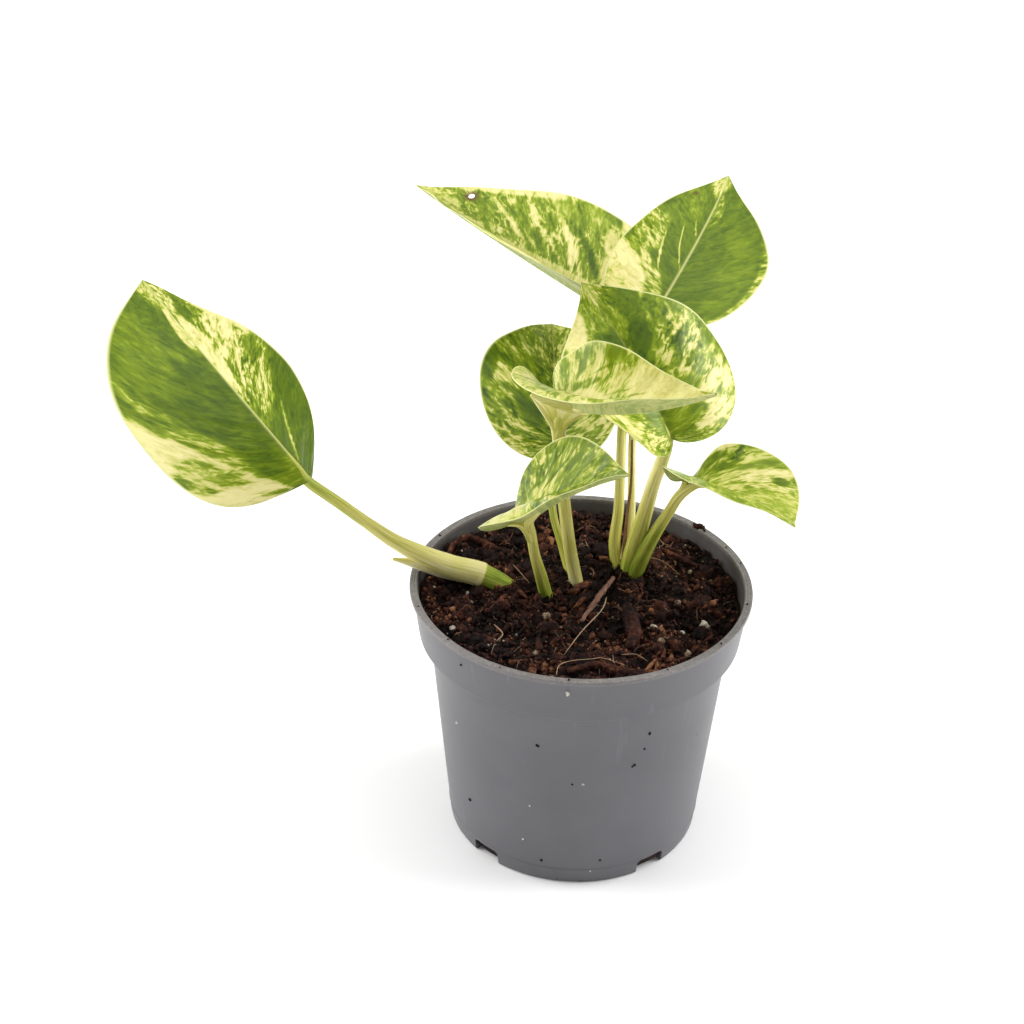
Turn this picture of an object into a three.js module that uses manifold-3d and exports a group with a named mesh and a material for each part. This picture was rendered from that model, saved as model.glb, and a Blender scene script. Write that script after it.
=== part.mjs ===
// A young variegated pothos in a 12 cm nursery pot. Millimetres, +Z up.
// The origin is on the pot's axis, on the surface that the pot stands on.
import * as THREE from 'three';
import { mergeVertices } from 'three/addons/utils/BufferGeometryUtils.js';
import Module from 'manifold-3d';

const wasm = await Module();
wasm.setup();

// Driving dimensions of the pot
const RIM_RADIUS = 60;
const POT_HEIGHT = 98;
const WALL = 1.2;
const LIP_WIDTH = 2.8;
const LIP_THICKNESS = 1.4;
const COLLAR_LOW_Z = 80;
const COLLAR_LOW_RADIUS = 56.8;
const STEP_DROP = 1.6;
const STEP_WIDTH = 1.6;
const EDGE_ROUND = 0.3;
const CORNER_ROUND = 0.8;
const BODY_TOP_RADIUS = 52.9;
const BASE_RADIUS = 45.4;
const POT_SIDES = 60;

// Drainage channels under the pot: four notches in the foot, each running in towards the middle
const CHANNEL_ANGLES = [-134, -53.5, 46, 126.5];
const CHANNEL_WIDTH = 11.5;
const CHANNEL_HEIGHT = 5.8;
const CHANNEL_INNER_RADIUS = 15;
const DRAIN_RADIUS = 3;
const DRAIN_DISTANCE = 33;

// Soil
const SEAT_GAP = 0.3;
const SOIL_LEVEL = 91.5;
const SOIL_EDGE_ROOM = 0.8;
const SOIL_RISE_BACK = 0.03;
const SOIL_FALL_RIGHT = 0.02;
const SOIL_RINGS = 12;
const SOIL_SIDES = 40;
const SCATTER_RADIUS = 50;
const SCATTER_SEED = 11;
const GRAINS = { count: 12, smallest: 0.9, largest: 1.5, flatness: 0.9 };
const CLUMPS = { count: 12, smallest: 1.8, largest: 3.4, flatness: 0.6 };
const LUMP_NARROWNESS = 0.75;
const LUMP_STAND = 0.25;

// Leaves
const BLADE_THICKNESS = 0.7;
const BLADE_ROWS = 14;
const BLADE_COLUMNS = 4;
const LOBE_SHARE = 0.42;
const VEIN_START = 0.15;
const VEIN_SWEEP = 1.25;
const FOLD_OPENS_FROM = 0.3;
const SHORTEST_LOBE = 4;

// Stalks: the gap to the leaf that a stalk carries is a little wider, and so is the notch in its lobes
const STALK_SIDES = 8;
const STALK_STEPS_PER_POINT = 2;
const CARRIED_GAP = 0.45;
const SIDE_ROOM = 0.5;
const CAP_SIZE = 12;

const radians = THREE.MathUtils.degToRad;
const clamp = THREE.MathUtils.clamp;

// Each leaf: the point where its stalk joins, the heading and rise of its midrib there, the roll of
// the blade about the midrib, its length and two half widths, the downward bend, sideways sway and
// twist from base to tip, then left and right values of the fold at the midrib, the curl of each
// half and the way the fold opens towards the tip. Angles are in degrees. The last four shape the
// flat outline: depth of the basal lobes and widest place as shares of the length, bluntness of the
// tip, and how far the lobes lift behind the stalk.
const LEAVES = [
  { name: 'leaf_left', base: [-92.5, -3.5, 139.5], heading: 159, rise: 46.5, roll: 16, length: 106,
    halfWidths: [41, 34.5], bend: 49, sway: -31, twist: -6, fold: [-16, -29], curl: [21, 9],
    open: [47, 20], lobe: -0.03, widest: 0.42, bluntness: 0.22, lift: 0 },
  { name: 'leaf_upper_left', base: [8.5, 77, 168], heading: 138, rise: 9.5, roll: -4, length: 105.5,
    halfWidths: [35, 36], bend: 1, sway: -7, twist: -3, fold: [39, 35], curl: [-10, -16],
    open: [-2, -13], lobe: 0.12, widest: 0.32, bluntness: 0.29, lift: 0 },
  { name: 'leaf_upper_right', base: [25.5, 62, 173.5], heading: 59, rise: 26, roll: -7.5, length: 78.5,
    halfWidths: [29.5, 29.5], bend: 16.5, sway: 11, twist: 9, fold: [4, 8], curl: [-35, -8],
    open: [4, -15], lobe: 0.075, widest: 0.33, bluntness: 0.33, lift: 3 },
  { name: 'leaf_centre', base: [29, 11, 150.5], heading: 130.5, rise: 54, roll: 6, length: 62.5,
    halfWidths: [35.5, 38], bend: 22, sway: 9, twist: -22, fold: [10, 24], curl: [38, -67],
    open: [-47, -14], lobe: 0.08, widest: 0.315, bluntness: 0.25, lift: 1 },
  { name: 'leaf_back', base: [-9, 31.5, 134.5], heading: 92.5, rise: 29.5, roll: 0, length: 67.5,
    halfWidths: [29.5, 25], bend: 28.5, sway: -2, twist: 3, fold: [24, 24], curl: [-7, -4],
    open: [11, 11], lobe: 0.105, widest: 0.35, bluntness: 0.28, lift: 1 },
  { name: 'leaf_folded', base: [-8.5, -7, 172.5], heading: -55, rise: 15, roll: 21, length: 69.5,
    halfWidths: [22.5, 28], bend: -23, sway: 13, twist: 11, fold: [73, 30], curl: [47, -46],
    open: [29, -23], lobe: 0.17, widest: 0.3, bluntness: 0.21, lift: 3 },
  { name: 'leaf_front', base: [-20, -13, 132], heading: -44, rise: 47, roll: -4, length: 56.5,
    halfWidths: [21.5, 23], bend: 17, sway: 0, twist: -3, fold: [38, 34], curl: [27, -57],
    open: [-1, -23], lobe: 0.2, widest: 0.33, bluntness: 0.27, lift: -1.5 },
  { name: 'leaf_right', base: [38, 8, 135.5], heading: -51, rise: 17.5, roll: 2.5, length: 53,
    halfWidths: [23, 20], bend: 17, sway: -7.5, twist: -15, fold: [12, 28], curl: [17, -14],
    open: [-34, -31], lobe: 0.125, widest: 0.33, bluntness: 0.32, lift: -3 },
];

// Stalks: centre lines from the leaf down into the soil, with the radius at each point
const STALKS = {
  left: {
    leaf: 'leaf_left',
    points: [[-92.5, -3.5, 139.5], [-84, -2, 130], [-74.5, 0.5, 120.5], [-63.5, 3, 110.5],
      [-47.5, 6.5, 100.5], [-31, 9.5, 91.5], [-21, 11, 85]],
    radii: [2, 2, 2.1, 2.6, 4, 4.1, 3.8],
  },
  left_flap: {
    points: [[-66, 3.2, 104.2], [-59, 4.8, 101.6], [-50, 6, 98.2], [-40, 8, 94.5]],
    radii: [0.5, 1.7, 2.6, 2.8],
  },
  front: {
    leaf: 'leaf_front',
    points: [[-20, -13, 132], [-18, -9.5, 123.5], [-16.5, -5.5, 112.5], [-14, -2, 101],
      [-11.5, 1, 89.5], [-9, 3, 80]],
    radii: [2.2, 2, 2, 2.2, 2.4, 2.4],
  },
  folded: {
    leaf: 'leaf_folded',
    points: [[-8.5, -7, 172.5], [-9.5, -2.5, 159.5], [-8.5, 3, 145], [-6.5, 7, 125], [-4, 9.5, 106],
      [-1, 10.5, 90], [1, 12, 79]],
    radii: [3.4, 2.4, 2.2, 2.2, 2.3, 2.5, 2.6],
  },
  back: {
    leaf: 'leaf_back',
    points: [[-9, 31.5, 134.5], [-10.5, 27.5, 123], [-10, 23, 112.5], [-7, 19, 102.5],
      [-3, 13.5, 90], [-1, 12, 82]],
    radii: [2, 1.5, 1.4, 1.4, 1.6, 1.6],
  },
  upper_left: {
    leaf: 'leaf_upper_left',
    points: [[8.5, 77, 168], [13.5, 68, 161.5], [15.8, 57, 151.5], [14.4, 44.5, 139],
      [13.8, 33, 126], [13.5, 26.5, 112], [12.5, 22.5, 99.5], [15, 20, 88]],
    radii: [1.9, 1.7, 1.7, 1.7, 1.8, 1.9, 2.2, 2.6],
  },
  upper_right: {
    leaf: 'leaf_upper_right',
    points: [[25.5, 62, 173.5], [21.5, 56, 163], [19, 49.5, 150.5], [18, 40.5, 134],
      [18, 33.5, 120.5], [18, 26.5, 107.5], [16.5, 20, 95]],
    radii: [1.9, 1.7, 1.6, 1.5, 1.5, 1.6, 2.4],
  },
  centre: {
    leaf: 'leaf_centre',
    points: [[29, 11, 150.5], [27, 12, 142], [24.3, 13, 131], [22.2, 15, 118.5],
      [19.6, 16.5, 104.5], [18, 18, 92], [17.5, 18.5, 78]],
    radii: [2.8, 2.4, 2.4, 2.7, 3.2, 3.6, 3.6],
  },
  right: {
    leaf: 'leaf_right',
    points: [[38, 8, 135.5], [33.5, 9.5, 128.5], [30, 11, 120.5], [26, 13, 111],
      [22, 15, 100.5], [18.5, 17.5, 88]],
    radii: [1.6, 1.9, 1.9, 2.3, 3.2, 3.4],
  },
  dry: {
    points: [[17.5, 34, 136.5], [17.5, 27.5, 123.5], [16.3, 22, 112.5], [14.4, 16.3, 101.5],
      [13.6, 13.5, 88]],
    radii: [0.5, 0.9, 1, 1, 1],
  },
  twig: {
    points: [[13, 11, 93.4], [8.5, 1.5, 92.8], [4.5, -8, 92.8], [0, -18.5, 93.2]],
    radii: [0.5, 1, 1.2, 0.7],
  },
};

// A seeded random number between 0 and 1
function seededRandom(seed) {
  let state = seed;
  return () => {
    state = (state * 16807) % 2147483647;
    return state / 2147483647;
  };
}

function solidFromGeometry(geometry) {
  const bare = geometry.clone();
  bare.deleteAttribute('normal');
  bare.deleteAttribute('uv');
  const merged = mergeVertices(bare, 1e-4);
  const index = Array.from(merged.index.array);
  const triVerts = [];
  for (let i = 0; i < index.length; i += 3) {
    const [a, b, c] = index.slice(i, i + 3);
    if (a !== b && b !== c && a !== c) triVerts.push(a, b, c);
  }
  return new wasm.Manifold(new wasm.Mesh({
    numProp: 3,
    vertProperties: new Float32Array(merged.attributes.position.array),
    triVerts: new Uint32Array(triVerts),
  }));
}

function geometryFromSolid(solid) {
  const mesh = solid.getMesh();
  const geometry = new THREE.BufferGeometry();
  geometry.setAttribute('position', new THREE.BufferAttribute(mesh.vertProperties, 3));
  geometry.setIndex(new THREE.BufferAttribute(mesh.triVerts, 1));
  geometry.computeVertexNormals();
  return geometry;
}

function largestPiece(solid) {
  return solid.decompose().reduce((best, piece) => (piece.volume() > best.volume() ? piece : best));
}

function geometryFromLists(points, triangles) {
  const geometry = new THREE.BufferGeometry();
  geometry.setAttribute('position', new THREE.Float32BufferAttribute(points.flat(), 3));
  geometry.setIndex(triangles.flat());
  return geometry;
}

// Height of the soil surface: a gentle slope with lumps of a few sizes
function soilHeight(x, y) {
  const slope = SOIL_LEVEL + SOIL_RISE_BACK * y - SOIL_FALL_RIGHT * x;
  const wide = 0.7 * Math.sin(0.19 * x + 0.7) * Math.cos(0.17 * y - 0.4);
  const lumps = 0.55 * Math.sin(0.47 * x + 1.9 * Math.sin(0.21 * y)) * Math.sin(0.43 * y + 1.3);
  const crumbs = 0.35 * Math.sin(1.05 * x + 0.8 * y) * Math.sin(0.92 * y - 0.55 * x + 2);
  return slope + wide + lumps + crumbs;
}

// The blade is laid out flat first. x runs along the midrib and y out to the side.
function cubic(a, b, c, d, t) {
  const u = 1 - t;
  return u * u * u * a + 3 * u * u * t * b + 3 * u * t * t * c + t * t * t * d;
}

function flatMargin(leaf, share, halfWidth) {
  const { length, lobe, bluntness } = leaf;
  const wide = leaf.widest * length;
  const back = lobe * length;
  if (share < LOBE_SHARE) {
    const t = share / LOBE_SHARE;
    return [
      cubic(0, -1.8 * back - 0.02 * length, -0.8 * back - 0.02 * length, wide, t),
      cubic(0, 0.12 * halfWidth, halfWidth, halfWidth, t),
    ];
  }
  const t = (share - LOBE_SHARE) / (1 - LOBE_SHARE);
  const rest = length - wide;
  return [
    cubic(wide, wide + 0.42 * rest, length - 0.3 * rest, length, t),
    cubic(halfWidth, halfWidth, bluntness * halfWidth, 0, t),
  ];
}

// A point on the vein that leaves the midrib for the given place on the margin
function flatVeinPoint(leaf, share, out, halfWidth) {
  const [edgeX, edgeY] = flatMargin(leaf, share, halfWidth);
  const start = leaf.length * Math.max(0, (share - VEIN_START) / (1 - VEIN_START)) ** 2;
  return [start + (edgeX - start) * out ** VEIN_SWEEP, edgeY * out];
}

// The midrib is part of a helix: the frame turns about one axis as it runs from base to tip
function midribFrame(leaf, x) {
  const heading = radians(leaf.heading);
  const rise = radians(leaf.rise);
  const along = new THREE.Vector3(
    Math.cos(heading) * Math.cos(rise), Math.sin(heading) * Math.cos(rise), Math.sin(rise));
  const up = new THREE.Vector3(
    -Math.cos(heading) * Math.sin(rise), -Math.sin(heading) * Math.sin(rise), Math.cos(rise));
  const side = up.clone().cross(along);
  const roll = radians(leaf.roll);
  const rolledUp = up.clone().multiplyScalar(Math.cos(roll)).addScaledVector(side, Math.sin(roll));
  const rolledSide = side.clone().multiplyScalar(Math.cos(roll)).addScaledVector(up, -Math.sin(roll));
  const turn = new THREE.Vector3(radians(leaf.twist), radians(leaf.bend), radians(leaf.sway));
  turn.divideScalar(leaf.length);
  const rate = turn.length() + 1e-9;
  const axis = turn.clone().divideScalar(rate);
  const run = Math.max(x, 0);
  const angle = rate * run;
  const place = new THREE.Vector3(Math.sin(angle) / rate + Math.min(x, 0), 0, 0);
  place.addScaledVector(axis.clone().cross(new THREE.Vector3(1, 0, 0)), (1 - Math.cos(angle)) / rate);
  place.addScaledVector(axis, axis.x * (run - Math.sin(angle) / rate));
  const start = new THREE.Matrix4().makeBasis(along, rolledSide, rolledUp);
  const frame = start.clone().multiply(new THREE.Matrix4().makeRotationAxis(axis, angle));
  const centre = place.applyMatrix4(start).add(new THREE.Vector3(...leaf.base));
  const basis = [new THREE.Vector3(), new THREE.Vector3(), new THREE.Vector3()];
  frame.extractBasis(...basis);
  return { centre, along: basis[0], side: basis[1], up: basis[2] };
}

// The folded and curled blade, with the direction that its upper face looks in
function bladePoint(leaf, x, y, hand) {
  const which = hand > 0 ? 0 : 1;
  const along = clamp(x / leaf.length, -FOLD_OPENS_FROM, 1);
  const opening = radians(leaf.open[which]) * (along - FOLD_OPENS_FROM);
  const fold = radians(leaf.fold[which]) + opening;
  const curl = radians(leaf.curl[which]) / leaf.halfWidths[which];
  const sideways = (Math.sin(fold + curl * y) - Math.sin(fold)) / curl;
  let rise = (Math.cos(fold) - Math.cos(fold + curl * y)) / curl;
  const lobeLength = Math.max(leaf.lobe * leaf.length, SHORTEST_LOBE);
  rise += leaf.lift * (Math.min(x, 0) / lobeLength) ** 2;
  const { centre, side, up } = midribFrame(leaf, x);
  const point = centre.addScaledVector(side, hand * sideways).addScaledVector(up, rise);
  const tilt = y > 0 ? fold + curl * y : 0;
  const normal = up.clone().multiplyScalar(Math.cos(tilt)).addScaledVector(side, -hand * Math.sin(tilt));
  return { point, normal };
}

// A closed blade between two offsets from its upper face, both faces split into triangles alike
function bladeGeometry(leaf, above, below) {
  const points = [];
  const triangles = [];
  for (const hand of [1, -1]) {
    const first = points.length;
    const columns = BLADE_COLUMNS + 1;
    for (let i = 0; i <= BLADE_ROWS; i += 1) {
      for (let j = 0; j < columns; j += 1) {
        const halfWidth = leaf.halfWidths[hand > 0 ? 0 : 1];
        const [x, y] = flatVeinPoint(leaf, i / BLADE_ROWS, j / BLADE_COLUMNS, halfWidth);
        const { point, normal } = bladePoint(leaf, x, y, hand);
        points.push(point.clone().addScaledVector(normal, above).toArray());
        points.push(point.clone().addScaledVector(normal, -below).toArray());
      }
    }
    const at = (i, j, face) => first + 2 * (i * columns + j) + face;
    const addQuad = (a, b, c, d) => {
      if (hand > 0) triangles.push([a, b, c], [a, c, d]);
      else triangles.push([a, c, b], [a, d, c]);
    };
    for (let i = 0; i < BLADE_ROWS; i += 1) {
      for (let j = 0; j < BLADE_COLUMNS; j += 1) {
        addQuad(at(i, j, 0), at(i + 1, j, 0), at(i + 1, j + 1, 0), at(i, j + 1, 0));
        addQuad(at(i, j + 1, 1), at(i + 1, j + 1, 1), at(i + 1, j, 1), at(i, j, 1));
      }
      const m = BLADE_COLUMNS;
      addQuad(at(i, m, 0), at(i + 1, m, 0), at(i + 1, m, 1), at(i, m, 1));
    }
  }
  return geometryFromLists(points, triangles);
}

function makeLeaf(leaf) {
  return geometryFromSolid(solidFromGeometry(bladeGeometry(leaf, 0, BLADE_THICKNESS)));
}

// A stalk cut clear of a blade that it passes or carries. The stalk that carries it runs up between
// the lobes, so its own leaf also takes room to both sides.
function cutByBlade(stalk, leaf, carried) {
  const gap = carried ? CARRIED_GAP : SEAT_GAP;
  const room = solidFromGeometry(bladeGeometry(leaf, gap, BLADE_THICKNESS + gap));
  const { side } = midribFrame(leaf, 0);
  const moves = carried ? [-SIDE_ROOM, 0, SIDE_ROOM] : [0];
  return moves.reduce((rest, move) => rest.subtract(
    room.translate(side.clone().multiplyScalar(move).toArray())), stalk);
}

// The space above the plane that a stalk ends in, just under the blade where the midrib starts
function stalkCap(leaf, route) {
  const [top, next] = route.points.map((p) => new THREE.Vector3(...p));
  const { centre, along, up } = midribFrame(leaf, 0);
  const direction = top.clone().sub(next).normalize();
  const slant = Math.abs(direction.dot(up));
  const normal = direction.clone().add(up.clone().multiplyScalar(slant)).normalize();
  const cap = new THREE.BoxGeometry(CAP_SIZE, CAP_SIZE, CAP_SIZE);
  const across = along.clone().cross(normal).normalize();
  const other = normal.clone().cross(across);
  const depth = CAP_SIZE / 2 - SEAT_GAP - BLADE_THICKNESS * slant;
  cap.applyMatrix4(new THREE.Matrix4().makeBasis(across, other, normal));
  cap.translate(...centre.addScaledVector(normal, depth).toArray());
  return solidFromGeometry(cap);
}

// A closed round tube along a smooth curve, its radius changing from point to point
function taperedTube(route, extra = 0) {
  const curve = new THREE.CatmullRomCurve3(route.points.map((p) => new THREE.Vector3(...p)));
  const steps = (route.points.length - 1) * STALK_STEPS_PER_POINT;
  const points = [];
  const triangles = [];
  for (let i = 0; i <= steps; i += 1) {
    const t = i / steps;
    const centre = curve.getPoint(t);
    const tangent = curve.getTangent(t);
    const across = new THREE.Vector3(1, 0.2, 0).cross(tangent).normalize();
    const other = tangent.clone().cross(across);
    const place = t * (route.radii.length - 1);
    const low = Math.min(Math.floor(place), route.radii.length - 2);
    const radius = THREE.MathUtils.lerp(route.radii[low], route.radii[low + 1], place - low) + extra;
    for (let k = 0; k < STALK_SIDES; k += 1) {
      const angle = (2 * Math.PI * k) / STALK_SIDES;
      const point = centre.clone().addScaledVector(across, radius * Math.cos(angle));
      points.push(point.addScaledVector(other, radius * Math.sin(angle)).toArray());
    }
  }
  for (let i = 0; i < steps; i += 1) {
    for (let k = 0; k < STALK_SIDES; k += 1) {
      const next = (k + 1) % STALK_SIDES;
      const a = i * STALK_SIDES + k;
      const b = i * STALK_SIDES + next;
      triangles.push([a, b, b + STALK_SIDES], [a, b + STALK_SIDES, a + STALK_SIDES]);
    }
  }
  const start = points.length;
  points.push(curve.getPoint(0).toArray(), curve.getPoint(1).toArray());
  const last = steps * STALK_SIDES;
  for (let k = 0; k < STALK_SIDES; k += 1) {
    const next = (k + 1) % STALK_SIDES;
    triangles.push([start, next, k], [start + 1, last + k, last + next]);
  }
  return solidFromGeometry(geometryFromLists(points, triangles));
}

function leafNamed(name) {
  return LEAVES.find((leaf) => leaf.name === name);
}

// Stalks that grow from one place are one body
function makeStem(stalkNames, passedLeaves = []) {
  const stalks = stalkNames.map((name) => {
    const route = STALKS[name];
    const stalk = taperedTube(route);
    if (!route.leaf) return stalk;
    const leaf = leafNamed(route.leaf);
    return cutByBlade(stalk.subtract(stalkCap(leaf, route)), leaf, true);
  });
  const stem = stalks.reduce((a, b) => a.add(b));
  const cutStem = passedLeaves.reduce((rest, name) => cutByBlade(rest, leafNamed(name), false), stem);
  return largestPiece(cutStem);
}

// Pot wall, collar, lip and floor, turned about the axis
function potProfile() {
  const stepZ = COLLAR_LOW_Z - STEP_DROP;
  const bodyAt = (z) => THREE.MathUtils.lerp(BASE_RADIUS, BODY_TOP_RADIUS, z / stepZ);
  const lipUnderZ = POT_HEIGHT - LIP_THICKNESS;
  const lipInner = RIM_RADIUS - LIP_WIDTH;
  const collarInner = COLLAR_LOW_RADIUS - WALL;
  return [
    [0, 0],
    [BASE_RADIUS - CORNER_ROUND, 0],
    [BASE_RADIUS, CORNER_ROUND],
    [bodyAt(stepZ), stepZ],
    [COLLAR_LOW_RADIUS - STEP_WIDTH, COLLAR_LOW_Z - CORNER_ROUND],
    [COLLAR_LOW_RADIUS - EDGE_ROUND, COLLAR_LOW_Z],
    [COLLAR_LOW_RADIUS, COLLAR_LOW_Z + CORNER_ROUND],
    [RIM_RADIUS - CORNER_ROUND, lipUnderZ - CORNER_ROUND],
    [RIM_RADIUS, lipUnderZ],
    [RIM_RADIUS, POT_HEIGHT - EDGE_ROUND],
    [RIM_RADIUS - EDGE_ROUND, POT_HEIGHT],
    [lipInner, POT_HEIGHT],
    [lipInner - EDGE_ROUND, lipUnderZ],
    [collarInner, COLLAR_LOW_Z + STEP_DROP],
    [collarInner - CORNER_ROUND, COLLAR_LOW_Z + CORNER_ROUND],
    [bodyAt(stepZ) - WALL, stepZ - EDGE_ROUND],
    [bodyAt(WALL + CORNER_ROUND) - WALL, WALL + CORNER_ROUND],
    [bodyAt(WALL) - WALL - CORNER_ROUND, WALL],
    [0, WALL],
  ];
}

// The hollow that the pot leaves inside, which the soil fills
function soilProfile() {
  const profile = potProfile();
  const inside = profile.slice(profile.length - 7, profile.length - 1).reverse();
  const lifted = (z) => (z === WALL ? z + SEAT_GAP : z);
  return [[0, WALL + SEAT_GAP]].concat(inside.map(([r, z]) => [r - SEAT_GAP, lifted(z)]));
}

function latheSolid(profile, sides) {
  const geometry = new THREE.LatheGeometry(profile.map(([r, z]) => new THREE.Vector2(r, z)), sides);
  geometry.rotateX(Math.PI / 2);
  return solidFromGeometry(geometry);
}

// A bar from the axis outwards along a channel, used for the channel, its cover and the soil's gap
function channelBar(angle, grow, outerRadius) {
  const inner = CHANNEL_INNER_RADIUS - grow;
  const length = outerRadius - inner;
  const height = CHANNEL_HEIGHT + grow;
  const bar = new THREE.BoxGeometry(length, CHANNEL_WIDTH + 2 * grow, height + 1);
  bar.translate(inner + length / 2, 0, (height - 1) / 2);
  bar.rotateZ(radians(angle));
  return solidFromGeometry(bar);
}

function drainHole(angle) {
  const hole = new THREE.CylinderGeometry(DRAIN_RADIUS, DRAIN_RADIUS, 6, 16);
  hole.rotateX(Math.PI / 2);
  hole.translate(DRAIN_DISTANCE, 0, CHANNEL_HEIGHT);
  hole.rotateZ(radians(angle));
  return solidFromGeometry(hole);
}

function makePot() {
  let pot = latheSolid(potProfile(), POT_SIDES);
  const cover = BASE_RADIUS - WALL / 2;
  const coverTop = 2 * CHANNEL_HEIGHT;
  const inside = latheSolid([[0, 0], [cover, 0], [cover, coverTop], [0, coverTop]], POT_SIDES);
  for (const angle of CHANNEL_ANGLES) {
    pot = pot.add(channelBar(angle, WALL, cover).intersect(inside));
  }
  for (const angle of CHANNEL_ANGLES) {
    pot = pot.subtract(channelBar(angle, 0, RIM_RADIUS)).subtract(drainHole(angle));
  }
  return pot;
}

// The ball of soil: a lumpy top that meets the wall, and the inside of the pot below
function soilBody() {
  const profile = soilProfile();
  const [edgeRadius] = profile[profile.length - 1];
  const points = [[0, 0, soilHeight(0, 0)]];
  const triangles = [];
  const ring = (k) => 1 + k * SOIL_SIDES;
  const addRing = (radiusOf, heightOf) => {
    for (let i = 0; i < SOIL_SIDES; i += 1) {
      const angle = (2 * Math.PI * i) / SOIL_SIDES;
      const x = radiusOf * Math.cos(angle);
      const y = radiusOf * Math.sin(angle);
      points.push([x, y, heightOf(x, y)]);
    }
  };
  const topRadius = edgeRadius - SOIL_EDGE_ROOM;
  for (let k = 1; k <= SOIL_RINGS; k += 1) addRing((topRadius * k) / SOIL_RINGS, soilHeight);
  const lower = profile.slice(1, -1).reverse();
  for (const [radius, z] of lower) addRing(radius, () => z);
  const rings = SOIL_RINGS + lower.length;
  for (let i = 0; i < SOIL_SIDES; i += 1) {
    const next = (i + 1) % SOIL_SIDES;
    triangles.push([0, ring(0) + i, ring(0) + next]);
    for (let k = 0; k < rings - 1; k += 1) {
      const a = ring(k);
      const b = ring(k + 1);
      triangles.push([a + i, b + i, b + next], [a + i, b + next, a + next]);
    }
    triangles.push([points.length, ring(rings - 1) + next, ring(rings - 1) + i]);
  }
  points.push([0, 0, profile[0][1]]);
  return solidFromGeometry(geometryFromLists(points, triangles));
}

// A small lump half sunk in the soil
function lump(x, y, size, turn, flatness) {
  const geometry = new THREE.IcosahedronGeometry(size, 0);
  geometry.scale(1, LUMP_NARROWNESS, flatness);
  geometry.rotateZ(turn);
  geometry.translate(x, y, soilHeight(x, y) + LUMP_STAND * size);
  return solidFromGeometry(geometry);
}

function makeSoil() {
  let soil = soilBody();
  for (const angle of CHANNEL_ANGLES) {
    soil = soil.subtract(channelBar(angle, WALL + SEAT_GAP, BASE_RADIUS));
  }
  const random = seededRandom(SCATTER_SEED);
  for (const kind of [GRAINS, CLUMPS]) {
    for (let i = 0; i < kind.count; i += 1) {
      const radius = SCATTER_RADIUS * Math.sqrt(random());
      const angle = 2 * Math.PI * random();
      const size = THREE.MathUtils.lerp(kind.smallest, kind.largest, random());
      const turn = 2 * Math.PI * random();
      soil = soil.add(lump(radius * Math.cos(angle), radius * Math.sin(angle), size, turn, kind.flatness));
    }
  }
  for (const route of Object.values(STALKS)) {
    soil = soil.subtract(taperedTube(route, SEAT_GAP));
  }
  return largestPiece(soil);
}

const potPlastic = () => new THREE.MeshStandardMaterial({ color: 0x6f6e73, roughness: 0.55, metalness: 0 });
const pottingMix = () => new THREE.MeshStandardMaterial({ color: 0x2b1a14, roughness: 1, metalness: 0 });
const paleStalk = () => new THREE.MeshStandardMaterial({ color: 0xb9c06a, roughness: 0.45, metalness: 0 });
const leafBlade = (color) => new THREE.MeshStandardMaterial({ color, roughness: 0.35, metalness: 0 });
const dryPaper = () => new THREE.MeshStandardMaterial({ color: 0x5a3a22, roughness: 0.8, metalness: 0 });
const LEAF_COLORS = {
  leaf_left: 0x7c9a3a,
  leaf_upper_left: 0xa9b85a,
  leaf_upper_right: 0x6f8f38,
  leaf_centre: 0x8aa53f,
  leaf_back: 0x5f8030,
  leaf_folded: 0xd3d58e,
  leaf_front: 0x86a04a,
  leaf_right: 0x9bb152,
};

const plant = new THREE.Group();
function addPiece(name, geometry, material) {
  const mesh = new THREE.Mesh(geometry, material);
  mesh.name = name;
  plant.add(mesh);
}

addPiece('pot', geometryFromSolid(makePot()), potPlastic());
addPiece('soil', geometryFromSolid(makeSoil()), pottingMix());
addPiece('stem_left', geometryFromSolid(makeStem(['left', 'left_flap'])), paleStalk());
addPiece('stem_front', geometryFromSolid(makeStem(['front'])), paleStalk());
addPiece('stem_middle', geometryFromSolid(makeStem(['folded', 'back'], ['leaf_front'])), paleStalk());
addPiece('stem_right', geometryFromSolid(makeStem(
  ['upper_left', 'upper_right', 'centre', 'right'], ['leaf_centre'])), paleStalk());
addPiece('dry_sheath', geometryFromSolid(taperedTube(STALKS.dry)), dryPaper());
addPiece('twig', geometryFromSolid(taperedTube(STALKS.twig)), dryPaper());
for (const leaf of LEAVES) addPiece(leaf.name, makeLeaf(leaf), leafBlade(LEAF_COLORS[leaf.name]));

export default plant;
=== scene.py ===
# A young variegated pothos in a grey nursery pot, on a pale floor.
# Shapes are worked out in millimetres and turned into metres when a mesh is made.
# The origin is on the pot's axis, on the floor, with Z up.
import math
from functools import partial
import bmesh
import bpy
import numpy as np
from mathutils import Matrix, Vector, noise


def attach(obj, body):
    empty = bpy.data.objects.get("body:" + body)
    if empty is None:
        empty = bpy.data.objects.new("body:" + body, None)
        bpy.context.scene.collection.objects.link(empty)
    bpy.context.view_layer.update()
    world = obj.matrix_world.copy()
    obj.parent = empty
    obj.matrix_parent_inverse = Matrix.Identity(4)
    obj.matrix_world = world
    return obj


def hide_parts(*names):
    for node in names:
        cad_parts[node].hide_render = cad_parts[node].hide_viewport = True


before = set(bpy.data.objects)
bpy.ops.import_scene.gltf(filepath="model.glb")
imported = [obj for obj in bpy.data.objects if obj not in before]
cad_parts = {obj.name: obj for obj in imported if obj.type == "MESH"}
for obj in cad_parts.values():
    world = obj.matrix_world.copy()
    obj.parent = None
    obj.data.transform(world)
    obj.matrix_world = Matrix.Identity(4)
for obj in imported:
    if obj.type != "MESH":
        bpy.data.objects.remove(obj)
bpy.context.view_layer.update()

MM = 0.001
TURN = 2 * math.pi

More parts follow.
